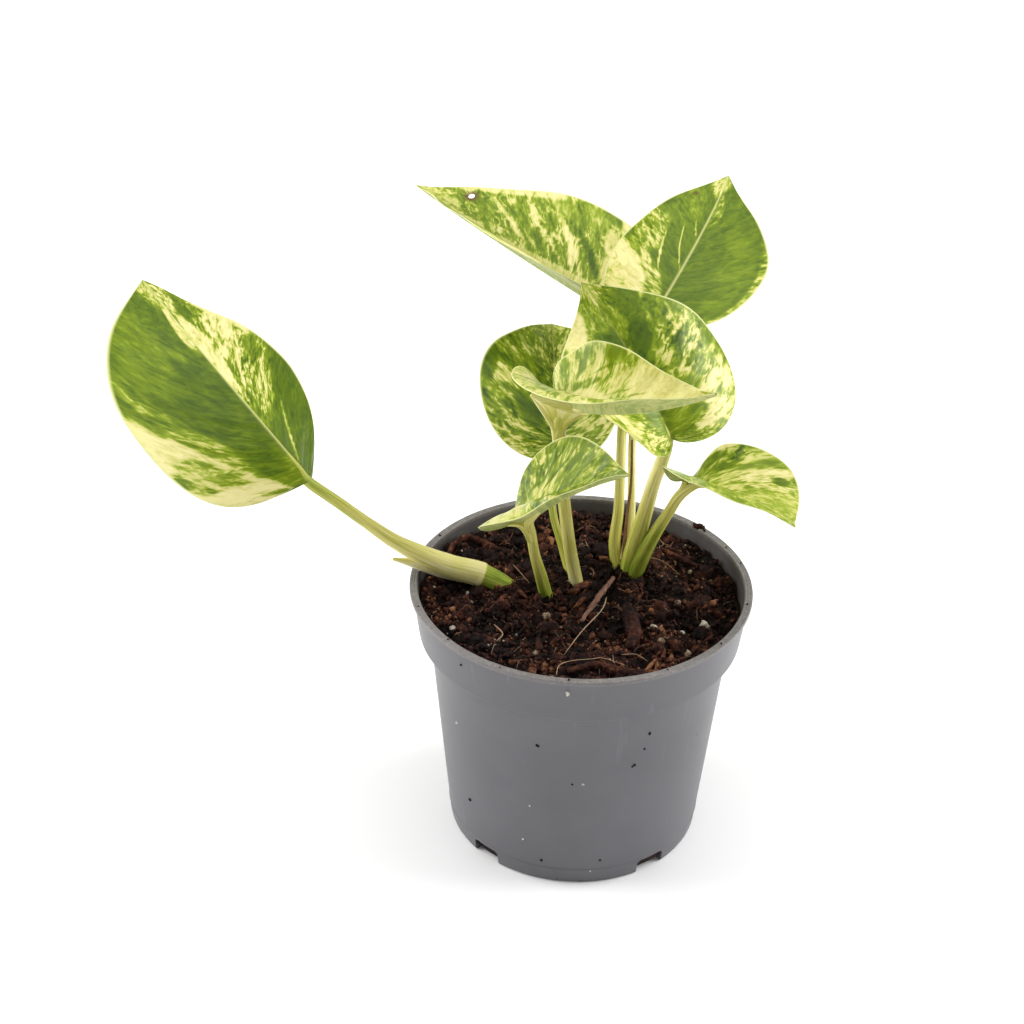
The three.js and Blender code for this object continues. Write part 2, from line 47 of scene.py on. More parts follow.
# Camera and stage: where the photograph was taken from, its focal length on a 1024 pixel picture,
# the light from all around and half the width of the floor
CAMERA_PLACE = (-24.6, -586.6, 480.6)
CAMERA_PITCH = 31.14
CAMERA_ROLL = 1.07
FOCAL_PIXELS = 2000
PICTURE_PIXELS = 1024
SENSOR_WIDTH = 36
WORLD_STRENGTH = 0.4
FLOOR_REACH = 4000

# Pot
RIM_RADIUS = 60
POT_HEIGHT = 98
WALL = 1.2
LIP_WIDTH = 2.8
LIP_THICKNESS = 1.4
COLLAR_LOW_Z = 80
COLLAR_LOW_RADIUS = 56.8
STEP_DROP = 1.6
BODY_TOP_RADIUS = 52.9
BASE_RADIUS = 45.4
PARTING_Z = 6.4
POT_SIDES = 192
CHANNEL_ANGLES = (-134, -53.5, 46, 126.5)
CHANNEL_WIDTH = 11.5
CHANNEL_HEIGHT = 5.8
CHANNEL_CORNER = 1.8
CHANNEL_INNER_RADIUS = 15
DRAIN_RADIUS = 3
DRAIN_DISTANCE = 33
# the slight recess in the bottom edge of the foot, at the front
RECESS_ANGLE = -93
RECESS_WIDTH = 9.2
RECESS_HEIGHT = 1.35
RECESS_DEPTH = 1.8
# heights between which soil clings to the inside of the collar, and the lip is painted paler, partly as
# wear and partly as a painted highlight on its lit edge
SMEAR_LOW_Z = 84.5
SMEAR_HIGH_Z = 97
WEAR_AND_HIGHLIGHT_LOW_Z = 96.3
WEAR_AND_HIGHLIGHT_HIGH_Z = 97.2

# Soil
SOIL_LEVEL = 91.5
SOIL_RISE_BACK = 0.03
SOIL_FALL_RIGHT = 0.02
SOIL_EDGE_RADIUS = 56.0
SOIL_RINGS = 150
SOIL_SIDES = 340
# the ball of soil below its surface: radius and height
SOIL_BALL = ((55.6, 86), (54.6, 81), (51.4, 78), (44.4, 2.3), (43.0, 1.6))
SEED = 7

# Leaf blades: rows run from the basal lobes to the tip, columns from the midrib to the margin
BLADE_ROWS = 96
BLADE_COLUMNS = 34
BLADE_THICKNESS = 0.5
LOBE_SHARE = 0.42
VEIN_START = 0.15
VEIN_SWEEP = 1.25
FOLD_OPENS_FROM = 0.3
SHORTEST_LOBE = 4
PATCH_SOFTNESS = 0.45

# Each leaf: the point where its stalk joins, the heading and rise of its midrib there, the roll of
# the blade about the midrib, its length and two half widths, the bend, sway and twist from base to
# tip, then left and right values of the fold at the midrib, the curl of each half and the way the
# fold opens towards the tip. Angles are in degrees. The last four shape the flat outline and lift
# its lobes. The values were fitted to the photograph's outlines by another program, and rounded.
LEAVES = {
    "leaf_left": dict(
        base=(-92.5, -3.5, 139.5), heading=159, rise=46.5, roll=16, length=106, half=(41, 34.5),
        bend=49, sway=-31, twist=-6, fold=(-16, -29), curl=(21, 9), open=(47, 20),
        lobe=-0.03, widest=0.42, bluntness=0.22, lift=0),
    "leaf_upper_left": dict(
        base=(8.5, 77, 168), heading=138, rise=9.5, roll=-4, length=105.5, half=(35, 36),
        bend=1, sway=-7, twist=-3, fold=(39, 35), curl=(-10, -16), open=(-2, -13),
        lobe=0.12, widest=0.32, bluntness=0.29, lift=0),
    "leaf_upper_right": dict(
        base=(25.5, 62, 173.5), heading=59, rise=26, roll=-7.5, length=78.5, half=(29.5, 29.5),
        bend=16.5, sway=11, twist=9, fold=(4, 8), curl=(-35, -8), open=(4, -15),
        lobe=0.075, widest=0.33, bluntness=0.33, lift=3),
    "leaf_centre": dict(
        base=(29, 11, 150.5), heading=130.5, rise=54, roll=6, length=62.5, half=(35.5, 38),
        bend=22, sway=9, twist=-22, fold=(10, 24), curl=(38, -67), open=(-47, -14),
        lobe=0.08, widest=0.315, bluntness=0.25, lift=1),
    "leaf_back": dict(
        base=(-9, 31.5, 134.5), heading=92.5, rise=29.5, roll=0, length=67.5, half=(29.5, 25),
        bend=28.5, sway=-2, twist=3, fold=(24, 24), curl=(-7, -4), open=(11, 11),
        lobe=0.105, widest=0.35, bluntness=0.28, lift=1),
    "leaf_folded": dict(
        base=(-8.5, -7, 172.5), heading=-55, rise=15, roll=21, length=69.5, half=(22.5, 28),
        bend=-23, sway=13, twist=11, fold=(73, 30), curl=(47, -46), open=(29, -23),
        lobe=0.17, widest=0.3, bluntness=0.21, lift=3),
    "leaf_front": dict(
        base=(-20, -13, 132), heading=-44, rise=47, roll=-4, length=56.5, half=(21.5, 23),
        bend=17, sway=0, twist=-3, fold=(38, 34), curl=(27, -57), open=(-1, -23),
        lobe=0.2, widest=0.33, bluntness=0.27, lift=-1.5),
    "leaf_right": dict(
        base=(38, 8, 135.5), heading=-51, rise=17.5, roll=2.5, length=53, half=(23, 20),
        bend=17, sway=-7.5, twist=-15, fold=(12, 28), curl=(17, -14), open=(-34, -31),
        lobe=0.125, widest=0.33, bluntness=0.32, lift=-3),
}

# A round hole near the tip of the long leaf, and brown spots: place along, place across and radius
SPOT_SHARE = 0.83
SPOT_REACH = -0.8
SPOT_RADIUS = 1.3
SCORCHES = {
    "leaf_upper_left": (SPOT_SHARE, SPOT_REACH, 2.9),
    "leaf_upper_right": (0.832, 0.85, 1.35),
}
SCORCH_FADE = 0.8

# Marbling of each leaf. tone runs from 0, dark green, over 0.5, lime, to 1, cream, and
# mottle says how strongly it is streaked along the veins. Each patch is an ellipse:
# tone, mottle, place from base to tip, place from midrib to margin (left is positive, right negative),
# half length along the leaf, half width across it, and lean towards the tip.
MARBLING = {
    "leaf_left": dict(tone=0.18, mottle=0.24, rib=0.85, patches=(
        (0.98, 0.6, 0.3, 0.72, 0.15, 0.5, 0.1),
        (0.6, 0.5, 0.37, 0.6, 0.035, 0.3, 0.03),
        (0.54, 0.5, 0.34, 0.88, 0.03, 0.12, 0),
        (0.5, 0.5, 0.24, 0.45, 0.04, 0.15, 0),
        (0.42, 0.3, 0.25, 0.1, 0.22, 0.16, 0),
        (0.44, 0.5, 0.48, 0.6, 0.045, 0.45, 0.2),
        (0.22, 0.3, 0.45, 0.2, 0.1, 0.14, 0.1),
        (0.34, 0.3, 0.7, 0.8, 0.12, 0.3, 0.05),
        (0.72, 0.5, 0.86, 0.12, 0.08, 0.14, 0),
        (0.6, 0.5, 0.95, 0.5, 0.06, 0.6, 0),
        (0.46, 0.2, 0.745, 0.42, 0.012, 0.1, 0),
        (0.62, 1.0, 0.66, -0.55, 0.15, 0.6, 0.03),
        (0.86, 0.5, 0.77, -0.2, 0.11, 0.28, 0.08),
        (0.8, 0.8, 0.72, -0.68, 0.06, 0.35, 0.05),
        (0.35, 0.5, 0.6, -0.14, 0.03, 0.12, 0.1),
        (0.38, 0.5, 0.68, -0.28, 0.02, 0.12, 0.15),
        (0.36, 0.5, 0.61, -0.82, 0.035, 0.13, 0.05),
        (0.4, 0.5, 0.78, -0.6, 0.02, 0.12, 0.1),
        (0.38, 0.5, 0.83, -0.9, 0.035, 0.12, 0),
        (0.62, 0.8, 0.93, -0.4, 0.06, 0.6, 0),
        (0.64, 0.3, 0.415, -0.3, 0.012, 0.28, 0.18),
        (0.85, 0.4, 0.72, -0.98, 0.12, 0.04, 0),
    )),
    "leaf_upper_left": dict(tone=0.48, mottle=0.65, rib=0.4, patches=(
        (0.7, 0.6, 0.33, -0.6, 0.08, 0.5, 0),
        (0.12, 0.3, 0.455, -0.42, 0.02, 0.22, 0.25),
        (0.52, 0.3, 0.45, -0.85, 0.04, 0.14, 0),
        (0.52, 0.3, 0.55, -0.82, 0.04, 0.14, 0),
        (0.75, 0.9, 0.54, -0.4, 0.04, 0.25, 0.1),
        (0.34, 0.4, 0.58, -0.3, 0.02, 0.12, 0.1),
        (0.34, 0.4, 0.65, -0.32, 0.022, 0.12, 0.1),
        (0.34, 0.4, 0.7, -0.6, 0.025, 0.14, 0.1),
        (0.34, 0.4, 0.8, -0.6, 0.03, 0.2, 0.05),
        (0.82, 0.4, 0.615, -0.4, 0.01, 0.24, 0.22),
        (0.82, 0.4, 0.73, -0.47, 0.01, 0.26, 0.13),
        (0.78, 0.4, 0.65, -0.7, 0.012, 0.12, 0.1),
        (0.82, 0.6, 0.68, -0.97, 0.17, 0.07, 0),
        (0.72, 0.4, 0.5, -0.06, 0.3, 0.07, 0),
        (0.6, 0.4, 0.95, -0.5, 0.07, 0.7, 0),
        (0.8, 0.7, 0.4, 0.6, 0.12, 0.5, 0.1),
        (0.35, 0.5, 0.65, 0.5, 0.15, 0.5, 0),
        (0.7, 0.7, 0.8, 0.7, 0.05, 0.3, 0.1),
    )),
    "leaf_upper_right": dict(tone=0.22, mottle=0.24, rib=0.75, patches=(
        (0.88, 0.6, 0.4, 0.75, 0.09, 0.5, 0.05),
        (0.57, 0.7, 0.6, 0.78, 0.1, 0.3, 0),
        (0.62, 0.6, 0.42, 0.22, 0.08, 0.16, 0.2),
        (0.2, 0.3, 0.65, 0.38, 0.045, 0.24, 0.15),
        (0.58, 0.7, 0.5, 0.5, 0.03, 0.2, 0.2),
        (0.8, 0.3, 0.585, 0.43, 0.01, 0.16, 0.5),
        (0.78, 0.2, 0.66, 0.22, 0.006, 0.2, 0.34),
        (0.7, 0.2, 0.775, 0.25, 0.006, 0.18, 0.17),
        (0.38, 0.4, 0.8, 0.65, 0.08, 0.4, 0),
        (0.66, 0.5, 0.95, 0.5, 0.05, 0.6, 0),
        (0.5, 0.6, 0.42, -0.97, 0.2, 0.06, 0),
        (0.32, 0.3, 0.5, -0.65, 0.2, 0.2, 0),
        (0.42, 0.6, 0.86, -0.2, 0.07, 0.2, 0),
        (0.56, 0.4, 0.97, -0.4, 0.04, 0.6, 0),
    )),
    "leaf_centre": dict(tone=0.4, mottle=0.55, rib=0.15, patches=(
        (0.64, 0.7, 0.28, 0.6, 0.2, 0.5, 0),
        (0.42, 0.6, 0.15, 0.8, 0.06, 0.2, 0),
        (0.45, 0.5, 0.45, 0.3, 0.04, 0.15, 0),
        (0.4, 0.3, 0.4, 0.05, 0.15, 0.08, 0),
        (0.12, 0.2, 0.78, 0.15, 0.07, 0.3, 0),
        (0.45, 0.4, 0.88, 0.6, 0.06, 0.5, 0),
        (0.85, 0.4, 0.8, 0.9, 0.08, 0.2, 0.1),
        (0.6, 0.6, 0.6, 0.7, 0.08, 0.4, 0.1),
        (0.78, 0.8, 0.33, -0.66, 0.13, 0.32, 0),
        (0.46, 0.3, 0.32, -0.14, 0.1, 0.16, 0),
        (0.48, 0.5, 0.48, -0.82, 0.035, 0.1, 0),
        (0.48, 0.5, 0.22, -0.85, 0.035, 0.12, 0),
        (0.4, 0.5, 0.33, -0.38, 0.05, 0.1, 0.1),
        (0.5, 1.0, 0.6, -0.62, 0.1, 0.3, 0.05),
        (0.12, 0.3, 0.62, -0.62, 0.02, 0.09, 0.1),
        (0.08, 0.2, 0.75, -0.3, 0.05, 0.26, 0.05),
        (0.25, 0.3, 0.84, -0.7, 0.06, 0.3, 0),
        (0.46, 0.4, 0.86, -0.2, 0.05, 0.25, 0),
        (0.58, 0.5, 0.97, 0, 0.05, 1.2, 0),
    )),
    "leaf_back": dict(tone=0.36, mottle=0.8, rib=0.4, patches=(
        (0.5, 0.9, 0.28, 0.8, 0.12, 0.3, 0),
        (0.45, 0.8, 0.28, 0.4, 0.08, 0.2, 0),
        (0.12, 0.3, 0.44, 0.35, 0.07, 0.2, 0.05),
        (0.12, 0.3, 0.5, 0.92, 0.09, 0.08, 0),
        (0.54, 0.7, 0.5, 0.75, 0.06, 0.1, 0),
        (0.16, 0.3, 0.62, 0.3, 0.06, 0.2, 0),
        (0.3, 0.6, 0.7, 0.5, 0.06, 0.3, 0),
        (0.5, 0.6, 0.78, 0.75, 0.1, 0.25, 0),
        (0.58, 0.4, 0.95, 0, 0.08, 1.4, 0),
        (0.5, 0.7, 0.3, -0.6, 0.1, 0.5, 0),
        (0.5, 0.6, 0.6, -0.5, 0.06, 0.4, 0.1),
        (0.56, 0.6, 0.82, -0.6, 0.1, 0.4, 0),
    )),
    "leaf_folded": dict(tone=0.63, mottle=0.55, rib=0.5, patches=(
        (0.57, 0.4, 0.17, 0.35, 0.09, 0.35, 0.05),
        (0.42, 0.3, 0.22, 0.86, 0.035, 0.13, 0),
        (0.2, 0.3, 0.1, 0.95, 0.03, 0.07, 0),
        (0.44, 0.4, 0.34, 0.72, 0.03, 0.25, 0.05),
        (0.4, 0.3, 0.33, 0.28, 0.03, 0.12, -0.1),
        (0.46, 0.2, 0.52, 0.88, 0.07, 0.14, 0),
        (0.45, 0.3, 0.51, 0.67, 0.014, 0.2, 0.6),
        (0.42, 0.3, 0.46, 0.42, 0.025, 0.06, 0.3),
        (0.86, 0.3, 0.45, 0.18, 0.15, 0.1, 0),
        (0.9, 0.4, 0.8, 0.6, 0.16, 0.45, 0),
        (0.52, 0.3, 0.62, 0.33, 0.01, 0.12, 0.5),
        (0.55, 0.3, 0.71, 0.35, 0.01, 0.1, 0.4),
        (0.52, 0.4, 0.4, -0.5, 0.06, 0.4, 0.1),
        (0.25, 0.3, 0.2, -0.45, 0.08, 0.15, 0),
    )),
    "leaf_front": dict(tone=0.44, mottle=0.7, rib=0.3, patches=(
        (0.64, 0.4, 0.4, 0.25, 0.2, 0.2, 0),
        (0.48, 1.0, 0.36, 0.75, 0.1, 0.25, 0),
        (0.4, 0.5, 0.28, 0.62, 0.025, 0.14, 0.05),
        (0.4, 0.6, 0.3, 0.9, 0.03, 0.1, 0),
        (0.28, 0.3, 0.61, 0.65, 0.03, 0.16, 0.15),
        (0.34, 0.5, 0.6, 0.95, 0.1, 0.06, 0),
        (0.46, 0.5, 0.56, 0.45, 0.02, 0.1, 0.1),
        (0.26, 0.5, 0.5, 0.5, 0.015, 0.2, 0.3),
        (0.3, 0.5, 0.44, 0.62, 0.014, 0.2, 0.25),
        (0.28, 0.5, 0.68, 0.55, 0.018, 0.25, 0.2),
        (0.46, 0.6, 0.78, 0.7, 0.12, 0.35, 0),
        (0.56, 0.6, 0.7, 0.35, 0.08, 0.15, 0),
        (0.68, 0.3, 0.35, -0.5, 0.25, 0.6, 0),
    )),
    "leaf_right": dict(tone=0.54, mottle=0.5, rib=0.3, patches=(
        (0.58, 0.25, 0.85, 0, 0.16, 1.3, 0),
        (0.32, 0.4, 0.24, 0.6, 0.05, 0.3, 0.02),
        (0.44, 0.3, 0.25, 0.25, 0.08, 0.15, 0),
        (0.85, 0.6, 0.26, 0.97, 0.08, 0.08, 0),
        (0.36, 0.9, 0.35, 0.72, 0.04, 0.3, 0),
        (0.28, 0.4, 0.36, 0.42, 0.05, 0.12, 0.1),
        (0.4, 0.3, 0.45, 0.72, 0.04, 0.25, 0),
        (0.66, 0.9, 0.58, 0.65, 0.1, 0.35, 0),
        (0.2, 0.3, 0.6, 0.8, 0.03, 0.1, 0),
        (0.4, 0.4, 0.42, 0.25, 0.012, 0.08, 0.1),
        (0.6, 0.4, 0.55, 0.15, 0.12, 0.15, 0),
        (0.5, 0.4, 0.45, -0.5, 0.6, 1.0, 0),
    )),
}

# Stalks: centre lines from the leaf down into the soil, with the radius at each point and the
# tone of the skin there, from 0, green, to 1, nearly white. Those without a leaf are the open
# sheath of stem_left and the flares at the top of three stalks. Most of the points were picked in
# the photograph and turned into millimetres by its camera.
STALKS = {
    "stem_left": (
        dict(leaf="leaf_left",
             points=((-92.5, -3.5, 139.5), (-84, -2, 130), (-74.5, 0.5, 120.5), (-63.5, 3, 110.5),
                     (-48, 6, 100.5), (-38, 7.1, 96.8), (-35, 7.1, 95.7), (-34, 7, 95.3),
                     (-30, 6.3, 93.7), (-25, 5.2, 91.4)),
             radii=(2, 2, 2.1, 2.7, 4.2, 4.5, 4.6, 4.2, 3.9, 3.4),
             tones=(0.3, 0.4, 0.55, 0.62, 0.72, 0.8, 0.85, 0.25, 0.16, 0.2)),
        dict(leaf=None,
             points=((-66, 3.2, 104.2), (-59, 4.8, 101.6), (-50, 6, 98.2), (-40, 8, 94.5)),
             radii=(0.5, 1.7, 2.6, 2.8), tones=(0.7, 0.9, 0.95, 0.9), groove=0.3),
    ),
    "stem_front": (
        dict(leaf="leaf_front",
             points=((-20, -13, 132), (-18, -9.5, 123.5), (-16.5, -5.5, 112.5), (-14, -2, 101),
                     (-11.5, 1, 89.5), (-9, 3, 80)),
             radii=(1.8, 1.75, 1.85, 2.2, 2.4, 2.4), tones=(0.6, 0.6, 0.5, 0.35, 0.1, 0.1)),
        dict(leaf=None,
             points=((-26, -11.9, 128.1), (-22.6, -12.2, 128.6), (-19.9, -11.6, 126.6),
                     (-18.2, -9.8, 121)),
             radii=(0.4, 1, 1.6, 1.2), tones=(0.65, 0.6, 0.6, 0.55)),
    ),
    "stem_middle": (
        dict(leaf="leaf_folded",
             points=((-8.5, -7, 172.5), (-9.5, -2.5, 159.5), (-8.5, 3, 145), (-6.5, 7, 125),
                     (-4, 9.5, 106), (-1, 10.5, 90), (1, 12, 79)),
             radii=(2.8, 2.4, 2.2, 2.2, 2.3, 2.5, 2.6), tones=(0.6, 0.5, 0.55, 0.6, 0.6, 0.9, 0.9)),
        dict(leaf=None,
             points=((-19, -9, 176.4), (-16.2, -7.8, 172), (-13.1, -5.9, 166.9), (-10.6, -4, 162),
                     (-9.7, -2, 156)),
             radii=(0.5, 1, 1.5, 1.9, 2), tones=(0.85, 0.8, 0.7, 0.6, 0.5)),
        dict(leaf=None,
             points=((2.7, -12, 174.3), (-1, -10.5, 172.9), (-5, -8.5, 170.6), (-7.7, -6, 166.4),
                     (-9.5, -4, 161), (-9.7, -2, 156)),
             radii=(0.5, 0.9, 1.3, 1.8, 2, 2), tones=(0.85, 0.8, 0.7, 0.6, 0.55, 0.5)),
        dict(leaf=None,
             points=((-9.2, -11.6, 174.8), (-9.4, -10, 171.5), (-9.8, -7.3, 166.8), (-9.9, -5, 162),
                     (-9.7, -2.4, 156)),
             radii=(10.3, 7.4, 4.4, 2.7, 2), tones=(0.8, 0.65, 0.5, 0.5, 0.5), groove=0, flatness=0.26),
        dict(leaf="leaf_back",
             points=((-9, 31.5, 134.5), (-10.5, 27.5, 123), (-10, 23, 112.5), (-7, 19, 102.5),
                     (-3, 13.5, 90), (-1, 12, 82)),
             radii=(2, 1.5, 1.4, 1.4, 1.6, 1.6), tones=(0.2, 0.3, 0.35, 0.4, 0.6, 0.6)),
    ),
    "stem_right": (
        dict(leaf="leaf_upper_left",
             points=((8.5, 77, 168), (13.5, 68, 161.5), (15.8, 57, 151.5), (14.4, 44.5, 139),
                     (13.8, 33, 126), (13.5, 26.5, 112), (12.5, 22.5, 99.5), (15, 20, 88)),
             radii=(1.9, 1.7, 1.7, 1.7, 1.8, 1.9, 2.2, 2.6),
             tones=(0.4, 0.5, 0.5, 0.6, 0.7, 0.55, 0.45, 0.4)),
        dict(leaf="leaf_upper_right",
             points=((25.5, 62, 173.5), (21.5, 56, 163), (19, 49.5, 150.5), (18, 40.5, 134),
                     (18, 33.5, 120.5), (18, 26.5, 107.5), (16.5, 20, 95)),
             radii=(1.9, 1.7, 1.6, 1.5, 1.5, 1.6, 2.4), tones=(0.5, 0.6, 0.7, 0.8, 0.75, 0.7, 0.5)),
        dict(leaf="leaf_centre",
             points=((29, 11, 150.5), (27, 12, 142), (24.3, 13, 131), (22.2, 15, 118.5),
                     (19.6, 16.5, 104.5), (18, 18, 92), (17.5, 18.5, 78)),
             radii=(2.6, 2.3, 2.4, 2.7, 3.2, 3.6, 3.6), tones=(0.7, 0.72, 0.66, 0.6, 0.45, 0.2, 0.1)),
        dict(leaf="leaf_right",
             points=((38, 8, 135.5), (33.5, 9.5, 128.5), (30, 11, 120.5), (26, 13, 111),
                     (22, 15, 100.5), (18.5, 17.5, 88)),
             radii=(1.6, 1.9, 1.9, 2.3, 3.2, 3.4), tones=(0.45, 0.6, 0.5, 0.3, 0.15, 0.05)),
        dict(leaf=None,
             points=((34.6, 9.3, 134.6), (34.9, 9.2, 132.8), (34.2, 9.4, 129.6), (32.2, 10.2, 125.2)),
             radii=(0.9, 1.4, 1.8, 1.3), tones=(0.4, 0.45, 0.5, 0.55)),
    ),
}
RIB_REACH = 12
RIB_CLEAR = 0.25
STALK_SIDES = 24
STALK_STEPS = 16
DRY_SHEATH = dict(
    points=((17.5, 34, 136.5), (17.5, 27.5, 123.5), (16.4, 22.4, 112.5), (15.9, 19.4, 104),
            (15.4, 18, 96)),
    radii=(0.35, 0.5, 0.6, 0.7, 0.8))
SHEATH_SIDES = 12
SHEATH_STEPS = 60
TWIG = dict(
    points=((12, 8, 95.2), (8.5, 1, 94.9), (4.5, -8, 94.6), (0, -18.5, 94.4)),
    radii=(0.6, 0.85, 0.9, 0.55))
TWIG_WANDER = 0.11
TWIG_SIDES = 10
TWIG_STEPS = 48


def linear(hex_colour):
    """An sRGB hex colour as the linear values that the shaders use."""
    channels = [int(hex_colour[i:i + 2], 16) / 255 for i in (0, 2, 4)]
    return tuple(c / 12.92 if c <= 0.04045 else ((c + 0.055) / 1.055) ** 2.4 for c in channels) + (1.0,)


def add_node(tree, kind, inputs=None, output=0, stops=(), **settings):
    """One shader node with its settings, linked to other nodes' outputs or set to values.

    Hex colours are turned to linear, and stops are those of a colour ramp. It gives back the output
    that is asked for, or the node itself where output is None.
    """
    node = tree.nodes.new("ShaderNode" + kind)
    for name, value in settings.items():
        setattr(node, name, value)
    for socket, value in (inputs or {}).items():
        if isinstance(value, bpy.types.NodeSocket):
            tree.links.new(value, node.inputs[socket])
        else:
            node.inputs[socket].default_value = linear(value) if isinstance(value, str) else value
    if stops:
        elements = node.color_ramp.elements
        while len(elements) < len(stops):
            elements.new(0.5)
        for element, (place, colour) in zip(elements, stops):
            element.position = place
            element.color = linear(colour)
    return node if output is None else node.outputs[output]


def make_material(name, finish, *options):
    """A material from a finish, which is a function that adds its nodes and gives back its shader."""
    material = bpy.data.materials.new(name)
    material.use_nodes = True
    tree = material.node_tree
    tree.nodes.clear()
    shader = finish(partial(add_node, tree), *options)
    add_node(tree, "OutputMaterial", {"Surface": shader}, None)
    return material


def leaf_tissue(add, under):
    """Living pothos blade: smooth waxy skin over marbled green and cream tissue.

    The upper skin is glossy enough to show the light as soft grey sheen between the veins.
    The underside is paler, greyer and more matt.
    """
    veins = add("Attribute", None, "Vector", attribute_name="veins")
    tone, mottle, rib, reach, scorch = (
        add("Attribute", None, "Fac", attribute_name=key)
        for key in ("tone", "mottle", "rib", "reach", "scorch"))
    # blotches about 4 mm across, streaks 1.6 mm and flecks 0.7 mm, all drawn out along the veins
    swings = []
    for across, along, swing in ((0.24, 0.1, 0.29), (0.6, 0.22, 0.34), (1.4, 0.6, 0.13)):
        drawn_out = add("Mapping", {"Vector": veins, "Scale": (across, along, 1)})
        cloud = add("TexNoise", {
            "Vector": drawn_out, "Scale": 1, "Detail": 1.5, "Roughness": 0.4, "Distortion": 1.0})
        swings.append(add("MapRange", {
            "Value": cloud, "From Min": 0.3, "From Max": 0.7, "To Min": -swing, "To Max": swing}))
    blotched = add("Math", {0: swings[0], 1: swings[1]}, operation="ADD")
    flecked = add("Math", {0: blotched, 1: swings[2]}, operation="ADD")
    ragged = add("Math", {0: flecked, 1: mottle}, operation="MULTIPLY")
    painted = add("Math", {0: ragged, 1: tone}, operation="ADD")
    colour = add("ValToRGB", {"Fac": painted}, stops=(
        (0.0, "37500A"), (0.2, "566D0C"), (0.43, "758914"), (0.54, "8EA029"),
        (0.6, "A8B146"), (0.65, "C2C168"), (0.8, "D6CE84"), (1.0, "E4DB9A")))
    # the midrib shows as a pale line, the margin as a pale hairline
    hairline = add("MapRange", {"Value": reach, "From Min": 0.975, "From Max": 0.995})
    layers = [(rib, "D2D285"), (hairline, "D6D795")]
    if under:
        layers.append((0.6, "AFB779"))
    layers.append((scorch, "5E3C1E"))
    for share, laid_over in layers:
        colour = add("Mix", {0: share, 6: colour, 7: laid_over}, 2, data_type="RGBA")
    # lateral veins every 7 mm or so are shallow furrows
    across_veins = add("Mapping", {"Vector": veins, "Scale": (0.045, 0.002, 1)})
    wave = add("TexWave", {
        "Vector": across_veins, "Scale": 1, "Distortion": 1.5, "Detail": 2, "Detail Scale": 1.5,
    }, "Fac", wave_type="BANDS", bands_direction="X", wave_profile="SIN")
    furrow = add("MapRange", {"Value": wave, "From Min": 0.0, "From Max": 0.4})
    relief = add("Bump", {"Height": furrow, "Strength": 0.2, "Distance": 0.3 * MM})
    # soft puckers about 6 mm across, and a cell grain of half a millimetre, coarser than real cells
    position = add("TexCoord", output="Object")
    pucker = add("TexNoise", {"Vector": position, "Scale": 160, "Detail": 2})
    relief = add("Bump", {"Height": pucker, "Strength": 0.25, "Distance": 0.8 * MM, "Normal": relief})
    grain = add("TexNoise", {"Vector": position, "Scale": 2200, "Detail": 1})
    relief = add("Bump", {"Height": grain, "Strength": 0.15, "Distance": 0.03 * MM, "Normal": relief})
    # the waxy skin is glossier in some places, about 22 mm across, than in others
    wax = add("TexNoise", {"Vector": position, "Scale": 45, "Detail": 2})
    glossy, dull = (0.5, 0.62) if under else (0.3, 0.45)
    rough = add("MapRange", {
        "Value": wax, "From Min": 0.35, "From Max": 0.65, "To Min": glossy, "To Max": dull})
    return add("BsdfPrincipled", {
        "Base Color": colour, "Roughness": rough, "Normal": relief, "IOR": 1.4,
        "Specular IOR Level": 0.32, "Subsurface Weight": 0.08, "Subsurface Scale": 1.0 * MM,
        "Subsurface Radius": (0.7, 1.0, 0.15)})


def stalk_skin(add):
    """Petiole skin: smooth and fleshy, green to nearly white, with fine lengthwise lines."""
    veins = add("Attribute", None, "Vector", attribute_name="veins")
    tone = add("Attribute", None, "Fac", attribute_name="tone")
    lines = add("Mapping", {"Vector": veins, "Scale": (0.05, 1.3, 1)})
    streaks = add("TexNoise", {"Vector": lines, "Scale": 1, "Detail": 3, "Roughness": 0.6})
    swing = add("MapRange", {
        "Value": streaks, "From Min": 0.3, "From Max": 0.7, "To Min": -0.25, "To Max": 0.25})
    streaked = add("Math", {0: swing, 1: tone}, operation="ADD")
    colour = add("ValToRGB", {"Fac": streaked}, stops=(
        (0.0, "6A8420"), (0.25, "9DA83C"), (0.5, "C7C160"), (0.75, "E2D98A"), (1.0, "EFE8B8")))
    relief = add("Bump", {"Height": streaks, "Strength": 0.25, "Distance": 0.15 * MM})
    return add("BsdfPrincipled", {
        "Base Color": colour, "Roughness": 0.38, "Normal": relief, "IOR": 1.42,
        "Specular IOR Level": 0.4, "Subsurface Weight": 0.1, "Subsurface Scale": 1.5 * MM,
        "Subsurface Radius": (0.8, 1.0, 0.25)})


def dry_litter(add, dark, light, across):
    """Dead sheath or twig: papery brown with lengthwise fibres and no gloss."""
    veins = add("Attribute", None, "Vector", attribute_name="veins")
    lines = add("Mapping", {"Vector": veins, "Scale": (0.12, across, 1)})
    fibres = add("TexNoise", {"Vector": lines, "Scale": 1, "Detail": 4, "Roughness": 0.7})
    colour = add("ValToRGB", {"Fac": fibres}, stops=((0.32, dark), (0.68, light)))
    relief = add("Bump", {"Height": fibres, "Strength": 0.6, "Distance": 0.3 * MM})
    return add("BsdfPrincipled", {"Base Color": colour, "Roughness": 0.8, "Normal": relief})


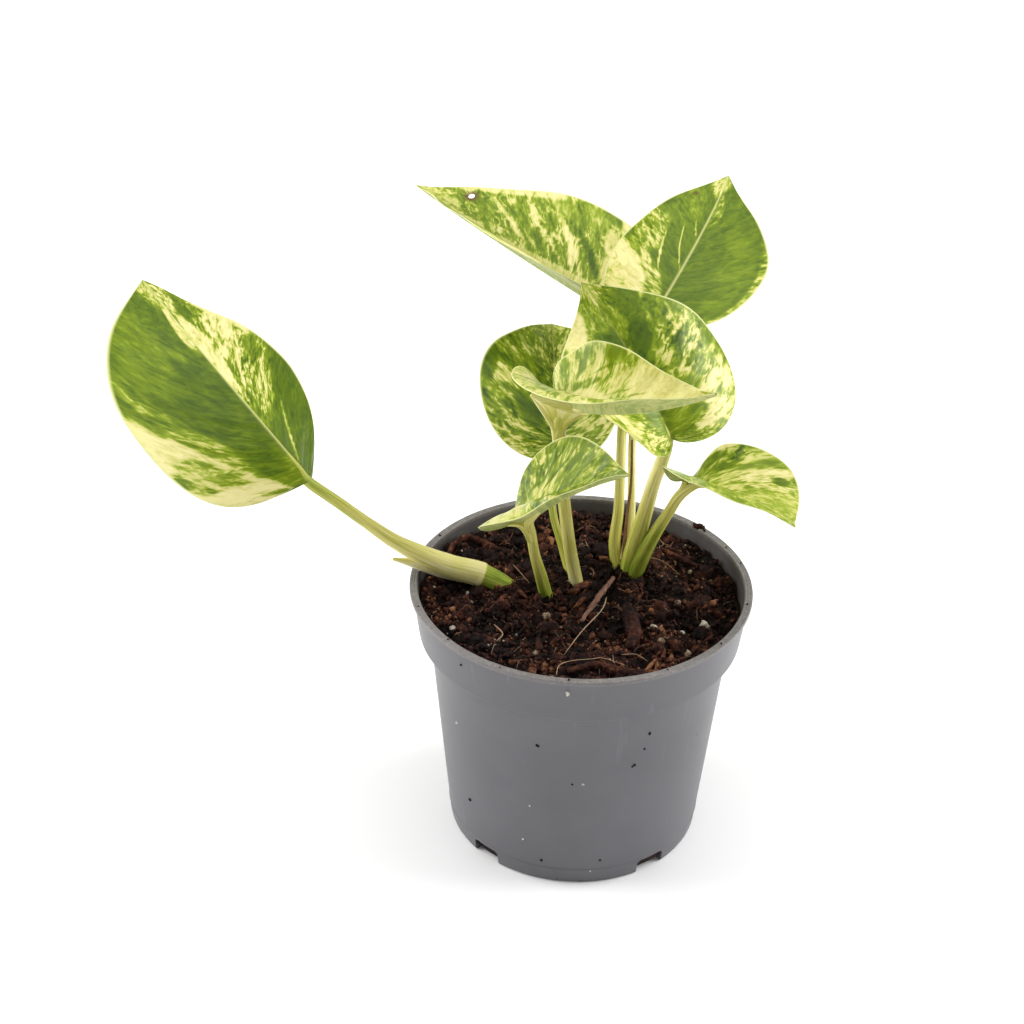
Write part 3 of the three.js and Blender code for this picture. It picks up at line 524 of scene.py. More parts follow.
def damp_peat(add):
    """Damp potting mix: nearly black fibrous peat with reddish bark crumbs and a faint wet gloss."""
    position = add("TexCoord", output="Object")
    # shade is each piece's own tone, and on the soil's top it is painted shade, darker in the hollows
    # and lighter on the clods
    shade = add("Attribute", None, "Fac", attribute_name="shade")
    # crumbs of about 2 mm, fibres of about half a millimetre and damper patches of 14 mm
    crumbs = add("TexNoise", {"Vector": position, "Scale": 420, "Detail": 5, "Roughness": 0.75})
    fibres = add("TexNoise", {"Vector": position, "Scale": 1500, "Detail": 4, "Roughness": 0.8})
    patches = add("TexNoise", {"Vector": position, "Scale": 70, "Detail": 2})
    swing = add("MapRange", {
        "Value": patches, "From Min": 0.35, "From Max": 0.65, "To Min": -0.14, "To Max": 0.14})
    patchy = add("Math", {0: crumbs, 1: swing}, operation="ADD")
    shaded = add("Math", {0: patchy, 1: shade}, operation="ADD")
    colour = add("ValToRGB", {"Fac": shaded}, stops=(
        (0.3, "0D0504"), (0.5, "1B0C09"), (0.66, "341913"), (0.82, "5E3424"), (1.0, "A4714E")))
    relief = add("Bump", {"Height": crumbs, "Strength": 0.9, "Distance": 1.2 * MM})
    relief = add("Bump", {"Height": fibres, "Strength": 0.8, "Distance": 0.4 * MM, "Normal": relief})
    rough = add("MapRange", {
        "Value": fibres, "From Min": 0.35, "From Max": 0.65, "To Min": 0.5, "To Max": 0.95})
    return add("BsdfPrincipled", {
        "Base Color": colour, "Roughness": rough, "Normal": relief, "Specular IOR Level": 0.18})


def perlite_grain(add):
    """Expanded perlite: chalky white foam glass, stained here and there by the peat."""
    position = add("TexCoord", output="Object")
    shade = add("Attribute", None, "Fac", attribute_name="shade")
    # stains of about 2 mm, and pores of about half a millimetre
    stains = add("TexNoise", {"Vector": position, "Scale": 500, "Detail": 3})
    stained = add("Math", {0: stains, 1: shade}, operation="ADD")
    colour = add("ValToRGB", {"Fac": stained}, stops=(
        (0.25, "3F2A1E"), (0.45, "7F6953"), (0.62, "B0A392"), (0.95, "DBD5CD")))
    pores = add("TexVoronoi", {"Vector": position, "Scale": 1800}, "Distance")
    relief = add("Bump", {"Height": pores, "Strength": 0.7, "Distance": 0.25 * MM})
    return add("BsdfPrincipled", {"Base Color": colour, "Roughness": 0.85, "Normal": relief})


def root_fibre(add):
    """Dry root hairs and coir: tan threads."""
    shade = add("Attribute", None, "Fac", attribute_name="shade")
    colour = add("ValToRGB", {"Fac": shade}, stops=(
        (0.0, "4A2E20"), (0.5, "8A6448"), (1.0, "C9A98A")))
    return add("BsdfPrincipled", {"Base Color": colour, "Roughness": 0.7})


def pot_plastic(add):
    """Thin injection moulded polypropylene: mid grey, satin, with a fine mould grain.

    Dust from the soil clings to it as faint smears, with a few dark and pale specks.
    """
    position = add("TexCoord", output="Object")
    # the grey and the gloss vary over places about 36 mm across
    cloud = add("TexNoise", {"Vector": position, "Scale": 28, "Detail": 5, "Roughness": 0.6})
    colour = add("ValToRGB", {"Fac": cloud}, stops=((0.3, "57565A"), (0.7, "626165")))
    rough = add("MapRange", {
        "Value": cloud, "From Min": 0.3, "From Max": 0.7, "To Min": 0.36, "To Max": 0.48})
    # specks up to half a millimetre across, one in a few square centimetres
    cells = add("TexVoronoi", {"Vector": position, "Scale": 95}, None)
    near = add("MapRange", {
        "Value": cells.outputs["Distance"], "From Min": 0.035, "From Max": 0.055,
        "To Min": 1, "To Max": 0})
    split = add("SeparateColor", {"Color": cells.outputs["Color"]}, None)
    chosen = add("Math", {0: split.outputs[0], 1: 0.9}, operation="GREATER_THAN")
    speck = add("Math", {0: near, 1: chosen}, operation="MULTIPLY")
    speck_colour = add("ValToRGB", {"Fac": split.outputs[1]}, stops=(
        (0.0, "2A1C17"), (0.62, "31221B"), (0.66, "B9AE9F")))
    speck_colour.node.color_ramp.interpolation = "CONSTANT"
    # upright rub marks from stacking
    upright = add("Mapping", {"Vector": position, "Scale": (260, 260, 9)})
    rubs = add("TexNoise", {"Vector": upright, "Scale": 1, "Detail": 2})
    rub = add("MapRange", {
        "Value": rubs, "From Min": 0.66, "From Max": 0.76, "To Min": 0, "To Max": 0.25})
    # the inside of the collar is smeared with soil above the soil's surface
    flat = add("VectorMath", {0: position, 1: (1, 1, 0)}, operation="MULTIPLY")
    radius = add("VectorMath", {0: flat}, "Value", operation="LENGTH")
    height = add("SeparateXYZ", {"Vector": position}, 2)
    lip_edge = RIM_RADIUS - LIP_WIDTH
    inside = add("MapRange", {
        "Value": radius, "From Min": (lip_edge - 0.1) * MM, "From Max": (lip_edge + 0.1) * MM,
        "To Min": 1, "To Max": 0})
    above = add("Math", {0: height, 1: SMEAR_LOW_Z * MM}, operation="GREATER_THAN")
    fading = add("MapRange", {
        "Value": height, "From Min": (SMEAR_LOW_Z + 0.5) * MM, "From Max": SMEAR_HIGH_Z * MM,
        "To Min": 0.75, "To Max": 0.25})
    smears = add("TexNoise", {"Vector": position, "Scale": 260, "Detail": 4, "Roughness": 0.7})
    patchy = add("MapRange", {
        "Value": smears, "From Min": 0.35, "From Max": 0.65, "To Min": 0.2, "To Max": 1})
    collar = add("Math", {0: above, 1: inside}, operation="MULTIPLY")
    soiled = add("Math", {0: fading, 1: patchy}, operation="MULTIPLY")
    smear = add("Math", {0: soiled, 1: collar}, operation="MULTIPLY")
    # the lip is painted paler: partly wear, with fine scratches along and across it, and partly a
    # painted highlight on its lit edge
    on_lip = add("MapRange", {
        "Value": height, "From Min": WEAR_AND_HIGHLIGHT_LOW_Z * MM, "From Max": WEAR_AND_HIGHLIGHT_HIGH_Z * MM})
    along_lip = add("Mapping", {"Vector": position, "Scale": (700, 700, 2400)})
    scratches = add("TexNoise", {"Vector": along_lip, "Scale": 1, "Detail": 3, "Roughness": 0.7})
    scratched = add("MapRange", {
        "Value": scratches, "From Min": 0.45, "From Max": 0.75, "To Min": 0.2, "To Max": 0.6})
    wear_and_highlight = add("Math", {0: on_lip, 1: scratched}, operation="MULTIPLY")
    # over the grey go the specks, the rub marks, the soil smear and the paler lip, which is partly wear
    # and partly painted highlight
    for share, laid_over in (
            (speck, speck_colour), (rub, "84848A"), (smear, "4A362B"), (wear_and_highlight, "A69C95")):
        colour = add("Mix", {0: share, 6: colour, 7: laid_over}, 2, data_type="RGBA")
    # a mould grain of 0.6 mm, coarser than the real one so that it shows
    grain = add("TexNoise", {"Vector": position, "Scale": 1600, "Detail": 2})
    relief = add("Bump", {"Height": grain, "Strength": 0.25, "Distance": 0.06 * MM})
    return add("BsdfPrincipled", {
        "Base Color": colour, "Roughness": rough, "Normal": relief, "IOR": 1.49})


def white_paper(add):
    """Matt white paper, for the floor."""
    return add("BsdfPrincipled", {"Base Color": "FAFAFA", "Roughness": 0.9})


def mesh_object(name, points, faces, materials, attributes=None, face_materials=None, sharp=None):
    """A smooth shaded mesh object from points in millimetres, with point attributes for its material."""
    mesh = bpy.data.meshes.new(name)
    mesh.from_pydata((np.asarray(points, float) * MM).tolist(), [], faces)
    for material in materials:
        mesh.materials.append(material)
    for key, values in (attributes or {}).items():
        values = np.asarray(values, np.float32)
        if values.ndim == 2:
            mesh.attributes.new(key, "FLOAT_VECTOR", "POINT").data.foreach_set("vector", values.ravel())
        else:
            mesh.attributes.new(key, "FLOAT", "POINT").data.foreach_set("value", values)
    if face_materials is not None:
        mesh.polygons.foreach_set("material_index", np.asarray(face_materials, np.int32))
    mesh.shade_smooth()
    if sharp is not None:
        mesh.set_sharp_from_angle(angle=math.radians(sharp))
    mesh.validate()
    obj = bpy.data.objects.new(name, mesh)
    bpy.context.scene.collection.objects.link(obj)
    return obj


def place_piece(obj, slot, *nodes):
    """Every piece rides on the one body and may stand for CAD nodes, which it hides. Its slot is not
    used.
    """
    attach(obj, "root")
    if nodes:
        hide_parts(*nodes)


def place_mix(name, points, faces, shade, materials, kinds=None):
    """Makes a piece of the potting mix, with the shade of each of its points."""
    obj = mesh_object(name, points, faces, materials, {"shade": shade}, kinds)
    place_piece(obj, "potting_mix")


def cubic(a, b, c, d, t):
    """A point on a Bezier curve of four values."""
    u = 1 - t
    return u ** 3 * a + 3 * u * u * t * b + 3 * u * t * t * c + t ** 3 * d


def flat_margin(leaf, share, half_width):
    """The blade's outline laid flat: x along the midrib, y out to the side."""
    length = leaf["length"]
    back = leaf["lobe"] * length
    wide = leaf["widest"] * length
    rest = length - wide
    t = np.clip(share / LOBE_SHARE, 0, 1)
    lobe_x = cubic(0, -1.8 * back - 0.02 * length, -0.8 * back - 0.02 * length, wide, t)
    lobe_y = cubic(0, 0.12 * half_width, half_width, half_width, t)
    t = np.clip((share - LOBE_SHARE) / (1 - LOBE_SHARE), 0, 1)
    tip_x = cubic(wide, wide + 0.42 * rest, length - 0.3 * rest, length, t)
    tip_y = cubic(half_width, half_width, leaf["bluntness"] * half_width, 0, t)
    lobe = share < LOBE_SHARE
    return np.where(lobe, lobe_x, tip_x), np.where(lobe, lobe_y, tip_y)


def rotate_about(vectors, axis, angle):
    """Rodrigues' formula for one vector or many, turned by many angles."""
    cos = np.cos(angle)[..., None]
    sin = np.sin(angle)[..., None]
    cross = np.cross(axis, vectors)
    return vectors * cos + cross * sin + axis * (vectors @ axis)[..., None] * (1 - cos)


def midrib_frames(leaf, x):
    """Centre, side and up along the midrib, which is part of a helix."""
    heading, rise, roll = (math.radians(leaf[k]) for k in ("heading", "rise", "roll"))
    ahead_x, ahead_y = math.cos(heading), math.sin(heading)
    along = np.array((ahead_x * math.cos(rise), ahead_y * math.cos(rise), math.sin(rise)))
    up = np.array((-ahead_x * math.sin(rise), -ahead_y * math.sin(rise), math.cos(rise)))
    side = np.cross(up, along)
    rolled_up = up * math.cos(roll) + side * math.sin(roll)
    rolled_side = side * math.cos(roll) - up * math.sin(roll)
    start = np.stack((along, rolled_side, rolled_up), 1)
    turn = np.radians((leaf["twist"], leaf["bend"], leaf["sway"])) / leaf["length"]
    rate = np.linalg.norm(turn) + 1e-9
    axis = turn / rate
    run = np.maximum(x, 0)
    angle = rate * run
    ahead = np.array((1.0, 0, 0))
    place = ahead * (np.sin(angle) / rate + np.minimum(x, 0))[..., None]
    place = place + np.cross(axis, ahead) * ((1 - np.cos(angle)) / rate)[..., None]
    place = place + axis * (axis[0] * (run - np.sin(angle) / rate))[..., None]
    centre = np.array(leaf["base"]) + place @ start.T
    side_now = rotate_about(np.array((0, 1.0, 0)), axis, angle) @ start.T
    up_now = rotate_about(np.array((0, 0, 1.0)), axis, angle) @ start.T
    return centre, side_now, up_now


def blade_surface(leaf, share, reach):
    """Points and normals of the upper face, and its coordinates when laid flat.

    reach is 0 on the midrib, 1 on the left margin and -1 on the right one.
    """
    points = np.zeros(share.shape + (3,))
    normals = np.zeros_like(points)
    flat_x = np.zeros(share.shape)
    flat_y = np.zeros(share.shape)
    for which, hand in ((0, 1), (1, -1)):
        mine = (reach >= 0) if hand > 0 else (reach < 0)
        half_width = leaf["half"][which]
        s = share[mine]
        out = np.abs(reach[mine])
        edge_x, edge_y = flat_margin(leaf, s, half_width)
        origin = leaf["length"] * np.maximum(0, (s - VEIN_START) / (1 - VEIN_START)) ** 2
        x = origin + (edge_x - origin) * out ** VEIN_SWEEP
        y = edge_y * out
        opening = np.clip(x / leaf["length"], -FOLD_OPENS_FROM, 1) - FOLD_OPENS_FROM
        fold = np.radians(leaf["fold"][which]) + np.radians(leaf["open"][which]) * opening
        curl = math.radians(leaf["curl"][which]) / half_width
        sideways = (np.sin(fold + curl * y) - np.sin(fold)) / curl
        rise = (np.cos(fold) - np.cos(fold + curl * y)) / curl
        lobe_length = max(leaf["lobe"] * leaf["length"], SHORTEST_LOBE)
        rise = rise + leaf["lift"] * (np.minimum(x, 0) / lobe_length) ** 2
        centre, side, up = midrib_frames(leaf, x)
        tilt = (fold + curl * y) * np.clip(y / 1.5, 0, 1)
        points[mine] = centre + side * (hand * sideways)[:, None] + up * rise[:, None]
        normals[mine] = up * np.cos(tilt)[:, None] - side * (hand * np.sin(tilt))[:, None]
        flat_x[mine] = x
        flat_y[mine] = hand * y
    return points, normals, flat_x, flat_y


def paint_marbling(share, reach, marbling):
    """Tone and streakiness at each point: the leaf's own, then each patch laid over it."""
    tone = np.full(share.shape, marbling["tone"], float)
    mottle = np.full(share.shape, marbling["mottle"], float)
    for patch_tone, patch_mottle, s, r, half_s, half_r, lean in marbling["patches"]:
        along = (share - s - lean * (np.abs(reach) - abs(r))) / half_s
        across = (reach - r) / half_r
        inside = (1 - np.sqrt(along ** 2 + across ** 2)) / PATCH_SOFTNESS + 0.5
        weight = np.clip(inside, 0, 1)
        weight = weight * weight * (3 - 2 * weight)
        if r != 0:
            weight = weight * (np.sign(reach) == np.sign(r))
        tone += (patch_tone - tone) * weight
        mottle += (patch_mottle - mottle) * weight
    return tone, mottle


def merge_equal(points, faces, attributes):
    """Joins points that coincide, such as those of the rows that meet at the leaf's base and tip."""
    _, first, again = np.unique(np.round(points, 3), axis=0, return_index=True, return_inverse=True)
    again = again.ravel()
    kept = []
    origin = []
    for index, face in enumerate(faces):
        ring = []
        for corner in face:
            number = int(again[corner])
            if number not in ring:
                ring.append(number)
        if len(ring) > 2:
            kept.append(ring)
            origin.append(index)
    return points[first], kept, {k: np.asarray(v)[first] for k, v in attributes.items()}, origin


def make_leaf(name, number, materials):
    """One blade: marbled upper face, pale underside with a raised midrib, and a thin closed edge."""
    leaf = LEAVES[name]
    marbling = MARBLING[name]
    rows = np.linspace(0, 1, BLADE_ROWS + 1)
    half = np.linspace(0, 1, BLADE_COLUMNS + 1) ** 1.25
    columns = np.concatenate((-half[:0:-1], half))
    share, reach = np.meshgrid(rows, columns, indexing="ij")
    top, normals, flat_x, flat_y = blade_surface(leaf, share, reach)
    from_tip = 1 - np.clip(flat_x / leaf["length"], 0, 1)
    # the upper face is furrowed at the midrib and gently quilted between the lateral veins
    furrow = -0.3 * np.exp(-(flat_y / 1.1) ** 2) * (0.3 + 0.7 * from_tip)
    out = np.abs(reach)
    quilt = 0.22 * np.sin(share * TURN * 9 + 1.3 * number) * out ** 0.7 * (1 - out ** 6)
    wave = 0.35 * np.sin(share * TURN * 3.5 + 2.1 * number) * out ** 4
    top = top + normals * (furrow + quilt + wave)[..., None]
    ridge = (0.25 + 1.1 * from_tip) * np.exp(-(flat_y / 1.0) ** 2) * np.clip(share / 0.2, 0, 1)
    thickness = BLADE_THICKNESS * (1 - 0.5 * out ** 8)
    bottom = top - normals * (thickness + ridge)[..., None]
    tone, mottle = paint_marbling(share, reach, marbling)
    rib = marbling["rib"] * np.exp(-(flat_y / (0.28 + 0.2 * from_tip)) ** 2)
    seed = np.full(share.shape, 7.3 * number)
    veins = np.stack((share * 1.2 * leaf["length"], reach * leaf["half"][0], seed), -1)
    count = share.size
    index = np.arange(count).reshape(share.shape)
    quads = np.stack((index[:-1, :-1], index[1:, :-1], index[1:, 1:], index[:-1, 1:]), -1).reshape(-1, 4)
    hole = np.zeros(len(quads), bool)
    if name == "leaf_upper_left":
        hole = cut_spot(top, share, reach, quads)
    quads = quads[~hole]
    scorch = np.zeros(share.shape)
    if name in SCORCHES:
        spot_share, spot_reach, spot_radius = SCORCHES[name]
        near = np.abs(share - spot_share) + np.abs(reach - spot_reach)
        distance = np.linalg.norm(top - top.reshape(-1, 3)[near.argmin()], axis=-1)
        scorch = np.clip((spot_radius - distance) / SCORCH_FADE, 0, 1)
    faces = quads.tolist() + (quads[:, ::-1] + count).tolist()
    kinds = [0] * len(quads) + [1] * len(quads)
    edges = dict.fromkeys((a, b) for quad in quads.tolist() for a, b in zip(quad, quad[1:] + quad[:1]))
    for a, b in edges:
        if (b, a) not in edges:
            faces.append([b, a, a + count, b + count])
            kinds.append(0)
    points = np.concatenate((top.reshape(-1, 3), bottom.reshape(-1, 3)))
    values = {"tone": tone, "mottle": mottle, "rib": rib, "reach": out, "scorch": scorch}
    twice = {key: np.tile(value.ravel(), 2) for key, value in values.items()}
    twice["veins"] = np.tile(veins.reshape(-1, 3), (2, 1))
    points, faces, twice, origin = merge_equal(points, faces, twice)
    kinds = [kinds[i] for i in origin]
    obj = mesh_object(name + "_blade", points, faces, materials, twice, kinds, sharp=60)
    place_piece(obj, "leaf", name)


def cut_spot(top, share, reach, quads):
    """Quads inside the spot, whose neighbouring points are drawn onto its circle."""
    near = np.abs(share - SPOT_SHARE) + np.abs(reach - SPOT_REACH)
    centre = top.reshape(-1, 3)[near.argmin()].copy()
    flat = top.reshape(-1, 3)
    offset = flat - centre
    distance = np.linalg.norm(offset, axis=1)
    inside = distance < SPOT_RADIUS
    hit = inside[quads].any(1)
    ring = np.unique(quads[hit].ravel())
    ring = ring[~inside[ring]]
    flat[ring] = centre + offset[ring] * (SPOT_RADIUS / distance[ring])[:, None]
    return hit


def smooth_route(points, values, steps):
    """Catmull-Rom curve through given points, with values interpolated along it."""
    p = np.asarray(points, float)
    p = np.concatenate((2 * p[:1] - p[1:2], p, 2 * p[-1:] - p[-2:-1]))
    places = np.linspace(0, len(points) - 1, steps + 1)
    low = np.minimum(places.astype(int), len(points) - 2)
    t = (places - low)[:, None]
    a, b, c, d = (p[low + k] for k in range(4))
    square = 2 * a - 5 * b + 4 * c - d
    cube = 3 * b - a - 3 * c + d
    curve = 0.5 * (2 * b + (c - a) * t + square * t ** 2 + cube * t ** 3)
    return curve, np.interp(places, np.arange(len(values)), values)


def route_frames(curve):
    """Two directions across a curve at each of its points, which turn as little as they can."""
    tangents = np.gradient(curve, axis=0)
    tangents /= np.linalg.norm(tangents, axis=1)[:, None]
    across = np.cross(tangents[0], (0.3, 1, 0.1))
    sides = []
    for tangent in tangents:
        across = across - tangent * (across @ tangent)
        across = across / np.linalg.norm(across)
        sides.append(across)
    sides = np.array(sides)
    return sides, np.cross(tangents, sides)


def tube(curve, radii, sides, groove=0.0, start_angle=0.0, bumps=None, flatness=1.0):
    """Points, faces and lengthwise coordinates of a closed tube, with an optional groove along it."""
    side, other = route_frames(curve)
    angles = np.linspace(0, TURN, sides, endpoint=False)
    dip = 1 - groove * np.exp(-((angles - math.pi) / 0.55) ** 2)
    ring = dip[None] * np.asarray(radii)[:, None]
    if bumps is not None:
        ring = ring * bumps
    turn = angles + start_angle
    points = curve[:, None] + ring[..., None] * (
        side[:, None] * np.cos(turn)[None, :, None]
        + other[:, None] * (flatness * np.sin(turn))[None, :, None])
    steps = len(curve)
    index = np.arange(steps * sides).reshape(steps, sides)
    after = np.roll(index, -1, 1)
    quads = np.stack((index[:-1], after[:-1], after[1:], index[1:]), -1).reshape(-1, 4).tolist()
    quads.append(index[0][::-1].tolist())
    quads.append(index[-1].tolist())
    length = np.concatenate(((0,), np.cumsum(np.linalg.norm(np.diff(curve, axis=0), axis=1))))
    around = np.minimum(angles, TURN - angles) * float(np.mean(radii))
    veins = np.stack(np.broadcast_arrays(length[:, None], around[None], 0.0), -1).reshape(-1, 3)
    return points.reshape(-1, 3), quads, veins


def join_parts(parts):
    """Several closed bodies as one list of points and faces."""
    points, faces, shift = [], [], 0
    for part_points, part_faces in parts:
        points.append(part_points)
        faces.extend([[c + shift for c in face] for face in part_faces])
        shift += len(part_points)
    return np.concatenate(points), faces


def stalk_route(stalk):
    """A stalk's points, radii and tones, with its top led into the ridge under its leaf's midrib."""
    points = [np.array(point, float) for point in stalk["points"]]
    radii, tones = list(stalk["radii"]), list(stalk["tones"])
    if stalk["leaf"]:
        leaf = LEAVES[stalk["leaf"]]
        centres, _, ups = midrib_frames(leaf, np.array((RIB_REACH, RIB_REACH * 0.45, 0.0)))
        ridge = np.array((0.5, 0.55 * radii[0], 0.95 * radii[0]))
        points = list(centres - ups * (ridge + RIB_CLEAR)[:, None]) + points[1:]
        radii = list(ridge) + radii[1:]
        tones = [tones[0] + 0.2, tones[0] + 0.1] + tones
    return points, radii, tones


def make_stems(name, material):
    """The stalks that grow from one place, with a groove along each, and their flares or sheath."""
    parts, veins, tones = [], [], []
    for number, stalk in enumerate(STALKS[name]):
        route, widths, shades = stalk_route(stalk)
        steps = STALK_STEPS * (len(route) - 1)
        curve, radii = smooth_route(route, widths, steps)
        _, shade = smooth_route(route, shades, steps)
        points, faces, lines = tube(
            curve, radii, STALK_SIDES, stalk.get("groove", 0.1), 0.4 * number,
            flatness=stalk.get("flatness", 1))
        parts.append((points, faces))
        lines[:, 2] = 5.1 * number
        veins.append(lines)
        tones.append(np.repeat(shade, STALK_SIDES))
    points, faces = join_parts(parts)
    attributes = {"veins": np.concatenate(veins), "tone": np.concatenate(tones)}
    obj = mesh_object(name + "_stalks", points, faces, [material], attributes, sharp=60)
    place_piece(obj, "stalk", name)


def make_sheath(material):
    """A papery strip, crumpled along its edges."""
    curve, radii = smooth_route(DRY_SHEATH["points"], DRY_SHEATH["radii"], SHEATH_STEPS)
    rng = np.random.default_rng(SEED)
    crumple = 1 + 0.2 * (rng.random((SHEATH_STEPS + 1, SHEATH_SIDES)) - 0.5)
    points, faces, lines = tube(curve, radii, SHEATH_SIDES, 0.3, 0.6, crumple, 0.4)
    obj = mesh_object("dry_sheath_strip", points, faces, [material], {"veins": lines})
    place_piece(obj, "dry_litter", "dry_sheath")


def make_twig(material):
    """A dry twig that wavers a little, with rough bark and one knot."""
    curve, radii = smooth_route(TWIG["points"], TWIG["radii"], TWIG_STEPS)
    rng = np.random.default_rng(SEED + 1)
    curve = curve + TWIG_WANDER * rng.normal(size=curve.shape)
    bark = 1 + 0.55 * (rng.random((TWIG_STEPS + 1, TWIG_SIDES)) - 0.5)
    knot = 1 + 0.35 * np.exp(-((np.linspace(0, 1, TWIG_STEPS + 1) - 0.42) / 0.03) ** 2)
    points, faces, lines = tube(curve, radii * knot, TWIG_SIDES, bumps=bark)
    obj = mesh_object("twig_bark", points, faces, [material], {"veins": lines})
    place_piece(obj, "dry_litter", "twig")


def soil_height(x, y):
    """The same slope and lumps as the solid soil has."""
    slope = SOIL_LEVEL + SOIL_RISE_BACK * y - SOIL_FALL_RIGHT * x
    wide = 0.7 * np.sin(0.19 * x + 0.7) * np.cos(0.17 * y - 0.4)
    lumps = 0.55 * np.sin(0.47 * x + 1.9 * np.sin(0.21 * y)) * np.sin(0.43 * y + 1.3)
    crumbs = 0.35 * np.sin(1.05 * x + 0.8 * y) * np.sin(0.92 * y - 0.55 * x + 2)
    return slope + wide + lumps + crumbs


def clod_height(x, y):
    """Clods about 9 mm across with 4 mm lumps and crumbs on them, and hollows between, which make_soil
    paints darker as shade.
    """
    warp_x = x + 2.5 * noise.noise(Vector((x * 0.16, y * 0.16, 3)))
    warp_y = y + 2.5 * noise.noise(Vector((x * 0.16, y * 0.16, 8)))
    clod = 0.5 - noise.voronoi(Vector((warp_x * 0.11, warp_y * 0.11, 5)))[0][0]
    lump = 0.45 - noise.voronoi(Vector((warp_x * 0.27, warp_y * 0.27, 2)))[0][0]
    crumb = 0.4 - noise.voronoi(Vector((x * 0.75, y * 0.75, 7)))[0][0]
    grit = noise.noise(Vector((x * 2.1, y * 2.1, 1)))
    return 5.0 * clod + 2.1 * lump + 0.8 * crumb + 0.3 * grit


def level_ring(radius, z, sides):
    """Points round the axis at one height."""
    angles = np.linspace(0, TURN, sides, endpoint=False)
    return np.stack((radius * np.cos(angles), radius * np.sin(angles), np.full(sides, float(z))), -1)


def stack_rings(rings, first_z, last_z):
    """A closed mesh of rings, with a middle point on the axis at each end.

    Its faces look outward where the rings run up the outside.
    """
    count, sides = len(rings), len(rings[0])
    points = np.concatenate([[[0, 0, first_z]]] + rings + [[[0, 0, last_z]]])
    index = 1 + np.arange(count * sides).reshape(count, sides)
    after = np.roll(index, -1, 1)
    faces = np.stack((index[:-1], after[:-1], after[1:], index[1:]), -1).reshape(-1, 4).tolist()
    last = len(points) - 1
    faces += [[0, int(b), int(a)] for a, b in zip(index[0], after[0])]
    faces += [[last, int(a), int(b)] for a, b in zip(index[-1], after[-1])]
    return points, faces


def make_soil(material):
    """The ball of soil: a crumbly top, and the pot's inside shape below."""
    radii = SOIL_EDGE_RADIUS * np.linspace(0, 1, SOIL_RINGS + 1)[1:]
    angles = np.linspace(0, TURN, SOIL_SIDES, endpoint=False)
    x = (radii[:, None] * np.cos(angles)).ravel()
    y = (radii[:, None] * np.sin(angles)).ravel()
    rough = np.array([clod_height(a, b) for a, b in zip(x, y)])
    top = np.stack((x, y, soil_height(x, y) + rough), -1)
    rings = list(top.reshape(SOIL_RINGS, SOIL_SIDES, 3))
    rings += [level_ring(radius, z, SOIL_SIDES) for radius, z in SOIL_BALL]
    points, faces = stack_rings(rings, soil_height(0.0, 0.0), SOIL_BALL[-1][1])
    # these rings run down the outside, so the faces are turned over
    faces = [face[:1] + face[:0:-1] for face in faces]
    shade = np.zeros(len(points))
    # the top is painted darker in its hollows and lighter on its clods: painted shade and painted light
    # by height
    shade[1:1 + len(top)] = 0.07 * rough
    obj = mesh_object("soil_ball", points, faces, [material], {"shade": shade})
    place_piece(obj, "potting_mix", "soil")


def ground_height(places):
    """Height of the lumpy soil at each place."""
    clods = np.array([clod_height(a, b) for a, b in places])
    return soil_height(places[:, 0], places[:, 1]) + clods


def sphere_points(level):
    """Unit icosphere points and faces from Blender's own primitive."""
    ball = bmesh.new()
    bmesh.ops.create_icosphere(ball, subdivisions=level, radius=1)
    points = np.array([v.co[:] for v in ball.verts])
    faces = np.array([[v.index for v in f.verts] for f in ball.faces])
    ball.free()
    return points, faces


def random_turns(rng, count):
    """Random rotation matrices from normalised quaternions."""
    q = rng.normal(size=(count, 4))
    q /= np.linalg.norm(q, axis=1)[:, None]
    w, x, y, z = q.T
    return np.stack((
        1 - 2 * (y * y + z * z), 2 * (x * y - z * w), 2 * (x * z + y * w),
        2 * (x * y + z * w), 1 - 2 * (x * x + z * z), 2 * (y * z - x * w),
        2 * (x * z - y * w), 2 * (y * z + x * w), 1 - 2 * (x * x + y * y)), -1).reshape(-1, 3, 3)


def scatter_lumps(rng, places, sizes, level, stretch, jitter, stand, shade):
    """Irregular lumps at given places on the soil, as one mesh."""
    ball, ball_faces = sphere_points(level)
    count = len(places)
    wobble = 1 + jitter * (rng.random((count, len(ball))) - 0.5)
    scale = np.stack([rng.uniform(low, high, count) for low, high in stretch], -1) * sizes[:, None]
    shaped = ball[None] * wobble[..., None] * scale[:, None]
    turned = np.einsum("nij,nkj->nki", random_turns(rng, count), shaped)
    ground = ground_height(places)
    centres = np.stack((places[:, 0], places[:, 1], ground + stand * sizes), -1)
    points = (turned + centres[:, None]).reshape(-1, 3)
    faces = (ball_faces[None] + len(ball) * np.arange(count)[:, None, None]).reshape(-1, 3)
    return points, faces.tolist(), np.repeat(shade, len(ball))


def random_places(rng, count, radius):
    """Places spread evenly over a disk."""
    r = radius * np.sqrt(rng.random(count))
    a = TURN * rng.random(count)
    return np.stack((r * np.cos(a), r * np.sin(a)), -1)


# Perlite grains that stand out on the soil: x, y and size. What is listed here and below was picked
# in the photograph and turned into millimetres by its camera.
PERLITE = (
    (-44, -21, 1.5), (-12, -14, 1.6), (27, -27, 1.7), (25, -29.5, 1.1), (43, -13, 1.8), (35, -19, 1.2),
    (-37, 22, 1.0), (34, -2, 1.4), (19, -41, 0.8), (25, -16, 1.3), (-16, -34, 1.1), (36, -31, 1.5),
    (40, 21, 1.0), (47, 15, 0.9), (1, 30, 1.0), (-8, 41, 0.9), (20, 44, 0.9), (-33, -7, 1.1),
)
EXTRA_PERLITE = 170
